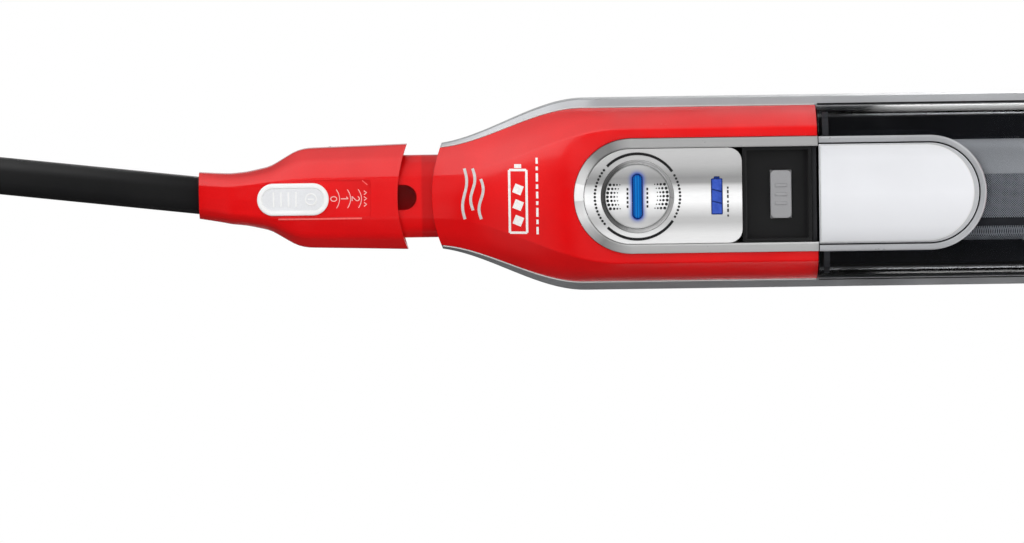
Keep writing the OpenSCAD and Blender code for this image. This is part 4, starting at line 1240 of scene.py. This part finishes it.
def make_handle_screws():
    """Socket screws sunk into the handle housing's slanted rear sides."""
    head = [(0.01, 7.6), (2.6, 7.6), (2.6, 9.7), (2.1, 10.2), (1.2, 10.2), (1.1, 9), (0.01, 9)]
    heads = [lathe(head, (x, 0, z), "y", 24) for x, z in SCREW_SPOTS]
    piece("handle_screw_heads", join(*heads), "steel", "handle", "steel", "handle_screws", crease=50)


def on_handle(x, z):
    """Just in front of the handle's flat front face."""
    _, front, _, crease = housing_at(z - HANDLE_Z)
    return front + 0.6 * min(1, abs(x) / crease) - 0.1


def make_recess_highlight():
    """Painted highlight: a pale thin line along one edge of the slider's recess, and a short one across its
    corner.
    """
    line = ribbon([(-RECESS_HALF - 0.7, z) for z in spread(RECESS_LO + 6, RECESS_LO + 62, 20)], 1.1,
                  on_handle)
    corner = ribbon([(RECESS_HALF - 0.4 - 3 * t, RECESS_LO + 5.5 - 3.5 * t) for t in spread(0, 1, 6)], 0.7,
                    recess_surface)
    piece("recess_highlight_line", join(line, corner), "highlight_red", "handle", "red_gloss")


def make_slider():
    """White slider with a sunken grey pad, a raised power symbol and four ribs."""
    y_front = low("speed_slider").y
    y_back = y_front + 2.3

    def outline(inset):
        return slot_outline(SLIDER_R - inset, SLIDER_Z + inset, SLIDER_TOP - inset)
    rows = [(0, y_back), (0, y_front + 0.9), (0.25, y_front + 0.4), (0.8, y_front + 0.08), (1.5, y_front),
            (2.6, y_front), (3.1, y_front + 0.15), (3.4, y_front + 0.8)]
    rim = loft([[(x, y, z) for x, z in outline(i)] for i, y in rows])
    stem = box_mesh((-2.5, y_back - 0.3, SLIDER_Z + 41), (2.5, high("speed_slider").y, SLIDER_Z + 46))
    piece("slider_rim", join(rim, stem), "white_plastic", "slider", "white_plastic", "speed_slider",
          crease=40)
    pad = crowned_plate(lambda i: outline(3.45 + i), y_front + 1.6, y_front + 0.75, 0.3, 0.1, 5)
    piece("slider_pad", pad, "slider_grey", "slider", "white_plastic", crease=50)
    top = y_front + 0.5

    def raised(half_x, z, half_z, r, height, root):
        """A rounded bar on the pad, height above its level and rooted below it."""
        return crowned_plate(lambda i: slot_rect(i - half_x, half_x - i, z - half_z + i, z + half_z - i, r),
                             top + root, top - height, height)
    symbol_z = SLIDER_Z + 12
    section = [(3.2, 0.4), (3.2, 0), (3.5, -0.15), (4.0, -0.15), (4.2, 0), (4.2, 0.4)]
    circle = lathe([(r, top + d) for r, d in section], (0, 0, symbol_z), "y", 48)
    bar = raised(0.5, symbol_z, 2.2, 0.4, 0.15, 0.4)
    ribs = [raised(5, SLIDER_Z + rise, 0.6, 0.5, 0.25, 0.6) for rise in (22, 27, 32, 37)]
    piece("slider_symbol", join(circle, bar, *ribs), "white_plastic", "slider", "white_plastic", crease=50)


def make_lever():
    """Grey release lever on the back of the handle, crowned, with grip ribs and its pins."""
    lo = low("release_lever")
    z0, z1 = lo.z, lo.z + 46

    def outline(inset):
        return slot_rect(-7.8 + inset, 7.8 - inset, z0 + inset, z1 - inset, 3 - 0.4 * inset)
    rows = [(0, 20.4), (0, 24.4), (0.3, 25.0), (0.9, 25.35), (3, 25.5), (6, 25.55)]
    paddle = loft([[(x, y, z) for x, z in outline(i)] for i, y in rows])
    nose = box_mesh((-6, lo.y, z0), (6, lo.y + 3, z0 + 5))
    pivot_z = z0 + 29
    pins = rod(2, -11.5, 11.5, (0, 23, pivot_z), "x", 32)
    ribs = [crowned_plate_back(-5, 5, z - 0.7, z + 0.7, 25.2, 26.1) for z in spread(z1 - 14, z1 - 4, 3)]
    piece("lever_paddle", join(paddle, nose, pins, *ribs), "grey_plastic", "lever", "grey_plastic",
          "release_lever", crease=45)


def crowned_plate_back(x0, x1, z0, z1, y0, y1):
    """A small rounded rib that faces the back."""
    rows = [(0, y0), (0, y1 - 0.4), (0.2, y1 - 0.1), (0.5, y1)]
    return loft([[(x, y, z) for x, z in slot_rect(x0 + i, x1 - i, z0 + i, z1 - i, 0.6)] for i, y in rows])


def grip_point(a):
    """Centre of the grip at angle a along its arc, in the tube's frame, as (y, z)."""
    t = math.radians(a)
    return GRIP_ARC_R * (1 - math.cos(t)), TUBE_LEN + GRIP_ARC_R * math.sin(t)


def grip_ring(a, rx, ry, n=40):
    """Oval section of the grip at angle a, square to its arc."""
    py, pz = grip_point(a)
    t = math.radians(a)
    ring = []
    for u in spread(0, 2 * math.pi, n)[:-1]:
        v = ry * math.sin(u)
        ring.append((rx * math.cos(u), py + v * math.cos(t), pz - v * math.sin(t)))
    return ring


def grip_depth(a):
    """Half depth of the rubber sleeve, which swells twice along the grip."""
    return 16.8 + 0.8 * (1 - math.cos(math.radians(a * 720 / GRIP_ANGLE)))


def make_tube():
    """Hollow black tube with slightly drawn-in ends."""
    outer = [section_ring(23.8, 29.2, 8.4, 0), section_ring(24.6, 30, 8.8, 0.6),
             section_ring(24.6, 30, 8.8, TUBE_LEN - 0.8), section_ring(23.6, 29, 8.3, TUBE_LEN)]
    inner = [section_ring(20.6, 26, 6.8, z) for z in (TUBE_LEN, 0)]
    tube = loft(outer + inner + [outer[0]], caps=False)
    piece("black_tube", in_tube(tube), "black_plastic", "handle", "black_plastic", "handle_tube", crease=50)


def make_grip():
    """Curved core that plugs into the tube, and the grooved rubber sleeve round it."""
    rings = [grip_ring(0, 12.6, 14.8)] + [grip_ring(a, 12.2, 14.4) for a in spread(0.6, GRIP_ANGLE, 24)]
    plug = loft([section_ring(20.2, 25.6, 6.6, z) for z in (TUBE_LEN - 22, TUBE_LEN + 0.5)])
    core = in_tube(join(loft(rings), plug))
    piece("grip_core", core, "black_plastic", "handle", "black_plastic", "grip_body", crease=50)
    outside = [grip_ring(2, 13.6, grip_depth(2) - 1)]
    outside += [grip_ring(a, 14.6 - 0.35 * groove(a), grip_depth(a) - 0.35 * groove(a))
                for a in spread(2.4, GRIP_ANGLE - 0.4, 96)]
    outside.append(grip_ring(GRIP_ANGLE, 13.6, grip_depth(GRIP_ANGLE) - 1))
    inside = [grip_ring(a, 12.5, 14.7) for a in spread(GRIP_ANGLE, 2, 24)]
    sleeve = loft(outside + inside + [outside[0]], caps=False)
    piece("grip_sleeve_rubber", in_tube(sleeve), "rubber", "handle", "rubber", "grip_sleeve", crease=50)


def make_grip_cap():
    """Domed cap on the grip's end, with a hole to hang it by."""
    steps = [min(t, 0.995) for t in spread(0, 1, 24)]
    dome = [grip_ring(GRIP_ANGLE + GAP / 2 + t * CAP_SWEEP, 14.6 * taper(t), 17 * taper(t)) for t in steps]
    cap = solid("grip_end_cap", in_tube(loft(dome)))
    py, pz = grip_point(GRIP_ANGLE + 0.5 * CAP_SWEEP)
    carve(cap, in_tube(rod(4.5, -20, 20, (0, py, pz), "x")))
    dress(cap, "black_plastic", "handle", "black_plastic", "grip_cap", crease=40)


def groove(a):
    """Fine grooves across the grip's sleeve."""
    return max(0.0, math.sin(math.radians(a * 360 / 1.08))) if 6 < a < 24 else 0.0


def taper(t):
    """How the end cap's section shrinks towards its tip, for t from 0 to 1."""
    return math.sqrt(1 - t ** 2.6)


# ------------------------------------------------------------------ printed marks

def ribbon(points, width, surface):
    """A flat stroke of one width along points in X and Z, laid on surface(x, z), which gives y."""
    verts, faces = [], []
    n = len(points)
    for i, (x, z) in enumerate(points):
        a = Vector(points[max(0, i - 1)])
        b = Vector(points[min(n - 1, i + 1)])
        along = (b - a).normalized()
        side = Vector((-along.y, along.x)) * width / 2
        for s in (-1, 1):
            px, pz = x + s * side.x, z + s * side.y
            verts.append((px, surface(px, pz), pz))
    for i in range(n - 1):
        faces.append((2 * i, 2 * i + 1, 2 * i + 3, 2 * i + 2))
    return verts, faces


def dot(x, z, r, surface, n=14):
    ring = [(x + px, z + pz) for px, pz in arc(0, 0, r, 0, 360, n)[:-1]]
    return [(px, surface(px, pz), pz) for px, pz in ring], [tuple(range(n))]


def arc_stroke(cx, cz, r, a0, a1, width, surface, n=40):
    return ribbon(arc(cx, cz, r, a0, a1, n), width, surface)


def on_crown(x, z):
    """Just in front of the red shell between its creases."""
    return crown_y(x, z) - 0.07


def wave_stroke(x0, x1, z, swing, width):
    """An airflow stroke: one full wave along X, in a line of even width."""
    pts = [(x, z + swing * math.sin((x - x0) / (x1 - x0) * math.tau)) for x in spread(x0, x1, 30)]
    return ribbon(pts, width, on_crown)


def make_body_marks():
    """Generic marks in the places of the printed ones: airflow strokes, a battery pictogram and dashes."""
    air = [wave_stroke(x0, x1, SHOULDER_Z - drop, 1.5, 1.9)
           for x0, x1, drop in ((-15, 19, 17), (-9, 19, 22.5), (-15, 12, 28))]
    piece("mark_airflow", join(*air), "ink_silver", "body", "panel_silver")
    x0, x1 = -24, 18
    z0, z1 = SHOULDER_Z - 58.5, SHOULDER_Z - 47
    outline = [(x0, z0), (x1, z0), (x1, z1), (x0, z1), (x0, z0)]
    strokes = [ribbon(line_points(outline[i], outline[i + 1]), 1.6, on_crown) for i in range(4)]
    strokes.append(ribbon(line_points((x1 + 2.6, z0 + 3.4), (x1 + 2.6, z1 - 3.4)), 2.6, on_crown))
    for i in range(3):
        x = x0 + 7 + i * 10.5
        strokes.append(ribbon(line_points((x, z0 + 3), (x + 2.2, z1 - 3)), 6.2, on_crown))
    piece("mark_battery", join(*strokes), "ink_white", "body", "white_plastic")
    dashes = []
    dash_z = SHOULDER_Z - 65.5
    x = -25.0
    for dash in (5, 3, 6, 2.5, 4.5, 3, 5.5, 2.5, 4):
        dashes.append(ribbon(line_points((x, dash_z), (x + dash, dash_z)), 1.5, on_crown))
        x += dash + 1.9
    piece("mark_dashes", join(*dashes), "ink_white", "body", "white_plastic")


def line_points(a, b, n=12):
    return [(mix(a[0], b[0], t), mix(a[1], b[1], t)) for t in spread(0, 1, n)]


def panel_surface(x, z):
    """Front of the crowned display panel, where the marks on it lie."""
    return PANEL_Y - 0.42


def disc_surface(x, z):
    """Just in front of the sensor's domed disc."""
    r = math.hypot(x, z - SENSOR_Z)
    return PANEL_Y + 0.05 + 0.45 * (r / 20) ** 2.2 - 0.08


def make_panel_marks():
    """The panel's broken ring, its dots and dashes, and the dots and dashes on the sensor's disc."""
    parts = [arc_stroke(0, SENSOR_Z, 28.5, start, end, 1.8, panel_surface)
             for start, end in ((-55, 44.5), (135.5, 235))]
    for centre, reach, steps in ((90, 39, 16), (270, 29, 12)):
        for a in spread(centre - reach, centre + reach, steps):
            x, z = arc(0, SENSOR_Z, 28.4, a, a, 1)[0]
            parts.append(dot(x, z, 0.85, panel_surface))
    dash_z = PANEL_END_Z + 9.6
    for i in range(7):
        x = -14.2 + i * 3.1
        dash = 2.2 if i % 3 else 1.4
        parts.append(ribbon(line_points((x, dash_z), (x + dash, dash_z), 3), 1.1, panel_surface))
    piece("panel_marks", join(*parts), "ink_black", "body", "black_plastic")
    dots = []
    for side in (-1, 1):
        for row in range(-3, 4):
            bow = 1.9 * row * row / 9
            for reach, r in ((20, 1.0), (17.5, 0.85), (15.4, 0.65), (13.5, 0.45)):
                dots.append(dot(row * 2.65, SENSOR_Z + side * (reach - bow), r, disc_surface))
    dashes = [ribbon(line_points((x, z), (x + 1.7, z), 3), 1.2, disc_surface)
              for z in (SENSOR_Z - 6.6, SENSOR_Z + 6.6) for x in (-7.5, -4.6, -1.7, 1.2, 4.1)]
    piece("sensor_dots", join(*dots, *dashes), "ink_black", "body", "black_plastic")


def recess_surface(x, z):
    """Just in front of the slider recess's floor."""
    return RECESS_FLOOR - 0.07


def glyph(strokes, z, width=0.55):
    """A dial digit whose head points down the handle: strokes are (right, up) points about its middle."""
    return join(*[ribbon([(-right, z - up) for right, up in stroke], width, recess_surface)
                  for stroke in strokes])


def make_dial_marks():
    """Dial arcs with the digits 0, 1 and 2 between them, and a small boost symbol of three chevrons."""
    zero = [(1.55 * math.cos(a), 2.0 * math.sin(a)) for a in spread(0, math.tau, 32)]
    bow = arc(0, 1.05, 1.4, 165, -40, 16)
    two = bow + line_points(bow[-1], (-1.5, -2.4), 8)[1:]
    digits = [glyph([zero], DIAL_Z + 7.2),
              glyph([[(0, -2.4), (0, 2.4)], [(0, 2.4), (-1.3, 1.3)]], DIAL_Z),
              glyph([two, [(-1.6, -2.4), (1.6, -2.4)]], DIAL_Z - 7.5)]
    arcs = [ribbon([(x, DIAL_Z + rise + 2.1 * (x / 6.2) ** 2) for x in spread(-6.2, 6.2, 20)], 0.45,
                   recess_surface) for rise in (3.3, -4.1, -11.4)]
    foot, point = DIAL_Z - 13.1, DIAL_Z - 14.8
    chevrons = [ribbon([(x - 1.3, foot), (x, point), (x + 1.3, foot)], 0.6, recess_surface)
                for x in (-3.9, 0, 3.9)]
    piece("dial_marks", join(*digits, *arcs, *chevrons), "ink_pink", "handle", "red_gloss")


# ------------------------------------------------------------------ floor head

def head_ring(z, side_in, front_in, rear_in, corner=20.0):
    w, f, b = HEAD_HALF - side_in, HEAD_FRONT - front_in, HEAD_REAR - rear_in
    pts = [(w, b, corner), (-w, b, corner), (-w, -f, corner * 1.3), (w, -f, corner * 1.3)]
    return at_z(rounded(pts, 10), z)


def make_head_cover():
    """Red cover with a rounded shoulder all round and a scooped top."""
    shoulder_z = HEAD_SPLIT_Z + 14
    rows = [(HEAD_SPLIT_Z, 0.3, 0.3, 0.3), (HEAD_SPLIT_Z + 0.8, 0, 0, 0), (shoulder_z, 1.5, 1.8, 0.75)]
    for a in spread(10, 90, 10):
        s, c = math.sin(math.radians(a)), 1 - math.cos(math.radians(a))
        rows.append((shoulder_z + 20 * s, 1.5 + 16.5 * c, 1.8 + 19.8 * c, 0.75 + 8.25 * c))
    cover = solid("head_cover_red", loft([head_ring(*row) for row in rows]))
    inner_rows = [(HEAD_SPLIT_Z - 3, 2.6, 2.6, 2.6), (33, 4.1, 4.4, 3.3), (44, 9, 11, 6), (51.4, 21, 25, 12)]
    inner = loft([head_ring(*row, corner=17) for row in inner_rows])
    bay = box_mesh((-39, -3, -5), (39, 80, 100))
    carve(cover, inner, bay)
    dress(cover, "red_gloss", "head", "red_gloss", "head_cover", crease=38, edge=0.5)


def make_brush():
    """Bristle tufts along four helical rows on the brush roller."""
    length = 2 * BRUSH_HALF - 12
    per_row = 62
    parts = []
    for row in range(4):
        for k in range(per_row):
            t = (k + 0.5) / per_row
            x = -BRUSH_HALF + 6 + t * length
            angle = row * 90 + t * 140
            for _ in range(6):
                a = math.radians(angle + random.uniform(-5, 5))
                dx = random.uniform(-1.3, 1.3)
                splay = random.uniform(-0.9, 0.9)
                tip = 19 + random.uniform(-0.4, 0.25)
                parts.append(bristle(x + dx, a, tip, splay))
    tufts = join(*parts)
    piece("brush_tufts", tufts, "bristle", "brush", "bristle", "brush_bristles", crease=60)


def bristle(x, angle, tip, splay):
    """One bristle: a thin three-sided spike from the roller outward."""
    up = Vector((0, math.sin(angle), math.cos(angle)))
    side = Vector((0, math.cos(angle), -math.sin(angle)))
    base = Vector((x, BRUSH_Y, BRUSH_Z)) + up * 10.8
    end = Vector((x + splay, BRUSH_Y, BRUSH_Z)) + up * tip + side * splay * 0.6
    verts = []
    for centre, r in ((base, 0.42), (end, 0.2)):
        for a in (0, 120, 240):
            c, s = math.cos(math.radians(a)), math.sin(math.radians(a))
            verts.append(tuple(centre + Vector((c * r, 0, 0)) + side * s * r))
    faces = [(0, 1, 4, 3), (1, 2, 5, 4), (2, 0, 3, 5), (3, 4, 5)]
    return verts, faces


def mirrored(half):
    """A turned profile, from half of it, with the other half mirrored along the axis."""
    return half + [(r, -t) for r, t in reversed(half)]


def make_wheels():
    """Rear wheels: a ribbed rubber tyre on a dished hub."""
    for side, node, body in ((-1, "rear_wheel_left", "wheel_left"), (1, "rear_wheel_right", "wheel_right")):
        y = (low(node).y + high(node).y) / 2
        z = (low(node).z + high(node).z) / 2
        x = side * WHEEL_X
        half_tyre = [(9.5, -5.2), (10.2, -6), (12.6, -6), (13.6, -5.2), (14, -4), (14, -1.2), (13.5, -0.9)]
        half_hub = [(0.01, -4.2), (3.4, -4.2), (4, -3.6), (8.2, -3.6), (9.5, -4.6), (9.6, -5)]
        tyre = mirrored(half_tyre) + half_tyre[:1]
        hub = mirrored(half_hub)
        piece(f"{node}_tyre", lathe(tyre, (x, y, z), "x"), "rubber", body, "rubber", node, crease=35)
        parts = join(lathe(hub, (x, y, z), "x"), rod(3, -17 * side, -4 * side, (x, y, z), "x"))
        piece(f"{node}_hub", parts, "dark_plastic", body, "dark_plastic", crease=35)


# ------------------------------------------------------------------ stage: floor, light and camera

def make_floor():
    """Pale round floor that glows a little farther out and fades into the white surroundings."""
    look = Look("pale_floor")
    base = look.blend(look.uneven(300, 3, 0, 1), (0.82, 0.82, 0.82), (0.86, 0.86, 0.855))
    gloss = look.uneven(40, 3, 0.55, 0.65)
    reach = look.add("VectorMath", {0: look.place}, operation="LENGTH").outputs["Value"]
    values = {"Base Color": base, "Roughness": gloss, "Emission Color": (1, 1, 1, 1),
              "Emission Strength": look.fit(reach, 0.1, 0.7, 0, 0.42)}
    shader = look.add("BsdfPrincipled", values).outputs[0]
    clear = look.add("BsdfTransparent").outputs[0]
    faded = look.add("MixShader", {0: look.fit(reach, 0.55, 1.2, 0, 1), 1: shader, 2: clear})
    look.finish(faded.outputs[0])
    rings = [[(1250 * r * math.cos(a), 1250 * r * math.sin(a), z) for a in spread(0, math.tau, 96)[:-1]]
             for r, z in ((1, -6), (1, -1), (0.995, 0))]
    floor = solid("floor", loft(rings))
    floor.data.materials.append(looks["pale_floor"])


def make_world():
    """White to the eye. Surfaces mirror a studio whose light depends on direction: a tall bright wall on the
    +X side that fades towards the back, weaker light on the -X side, above and behind, a dim room all
    round, and a bright low band towards the back's sides."""
    world = bpy.data.worlds.new("studio")
    bpy.context.scene.world = world
    world.use_nodes = True
    sky = Nodes(world.node_tree)
    axes = sky.add("SeparateXYZ", {0: sky.add("TexCoord").outputs["Generated"]})
    x, y, z = (axes.outputs[name] for name in "XYZ")
    right = sky.times(sky.fit(x, 0.3, 0.34, 0, 1), sky.fit(y, -0.79, -0.77, 0, 1))
    right = sky.times(right, sky.fit(z, -0.024, -0.02, 0, 1))
    right = sky.times(right, sky.fit(y, -0.3, 0.85, 1.7, 0.12))
    left = sky.times(sky.fit(x, -0.62, -0.5, 1, 0), 0.02)
    above = sky.times(sky.fit(z, 0.5, 0.9, 0, 1), 0.55)
    room = sky.fit(y, -1, 0.4, 0.025, 0.04)
    behind = sky.times(sky.fit(y, 0.86, 0.96, 0, 1), 0.75)
    low_band = sky.times(sky.fit(z, -0.051, -0.048, 1, 0), sky.fit(z, -0.085, -0.075, 0, 1))
    low_sides = sky.times(low_band, sky.fit(y, 0.1, 0.3, 0, 4.2))
    reach = sky.math("MAXIMUM", sky.fit(y, 0.36, 0.42, 1, 0), sky.fit(x, 0, 0.1, 0, 1))
    low_sides = sky.times(low_sides, reach)
    level = sky.plus(sky.plus(sky.plus(right, left), sky.plus(above, room)), sky.plus(behind, low_sides))
    studio = sky.add("Background", {"Strength": level})
    white = sky.add("Background", {"Color": (1, 1, 1, 1), "Strength": 1.0})
    seen = sky.add("LightPath").outputs["Is Camera Ray"]
    both = sky.add("MixShader", {0: seen, 1: studio.outputs[0], 2: white.outputs[0]})
    out = sky.add("OutputWorld")
    sky.put(out.inputs["Surface"], both.outputs[0])


def soft_light(name, place, target, size, watts):
    """A square lamp that lights surfaces but isn't mirrored in them."""
    data = bpy.data.lights.new(name, "AREA")
    data.shape = "RECTANGLE"
    data.size, data.size_y = size
    data.energy = watts
    light = bpy.data.objects.new(name, data)
    bpy.context.scene.collection.objects.link(light)
    light.location = Vector(place)
    light.rotation_euler = (Vector(target) - Vector(place)).to_track_quat("-Z", "Y").to_euler()
    light.visible_glossy = False
    light.visible_camera = False


def make_lights():
    middle = (0, 0, 0.5)
    soft_light("front_key", (0.7, -2.2, 0.9), middle, (1.4, 1.4), 25)
    soft_light("front_fill", (-0.9, -2.0, 0.5), middle, (1.6, 1.6), 15)
    soft_light("back_fill", (-0.8, 2.0, 1.2), middle, (1.4, 1.4), 30)


def make_camera():
    """Camera square on to the front, with the vacuum's axis across the picture as in the photograph."""
    turn = math.radians(3)
    roll = math.radians(0.82)
    distance = 5
    seen_width = 0.683
    sensor = 36
    target = Vector((-0.0491, -0.05, 0.552))
    forward = Vector((-math.sin(turn), math.cos(turn), 0))
    up = Vector((math.cos(turn), math.sin(turn), 0))
    right = Vector((0, 0, -1))
    rolled_right = right * math.cos(roll) - up * math.sin(roll)
    rolled_up = up * math.cos(roll) + right * math.sin(roll)
    data = bpy.data.cameras.new("camera")
    data.sensor_width = sensor
    data.lens = sensor * distance / seen_width
    data.clip_end = 50
    camera = bpy.data.objects.new("camera", data)
    bpy.context.scene.collection.objects.link(camera)
    basis = Matrix((rolled_right, rolled_up, -forward)).transposed().to_4x4()
    camera.matrix_world = Matrix.Translation(target - forward * distance) @ basis
    bpy.context.scene.camera = camera


def make_object():
    make_looks()
    dress_cad_nodes()
    make_front_shell()
    make_rear_housing()
    make_bottom_cap()
    make_shell_bead()
    make_neck()
    make_panel_frame()
    make_control_panel()
    make_sensor()
    make_battery_light()
    make_button()
    make_button_springs()
    make_bay_wall()
    make_container()
    make_filter_frame()
    make_container_frame()
    make_handle_housing()
    make_handle_screws()
    make_recess_highlight()
    make_slider()
    make_lever()
    make_tube()
    make_grip()
    make_grip_cap()
    make_body_marks()
    make_panel_marks()
    make_dial_marks()
    make_head_cover()
    make_brush()
    make_wheels()


make_camera()
make_object()
make_floor()
make_world()
make_lights()
bpy.context.scene.view_settings.view_transform = "Standard"
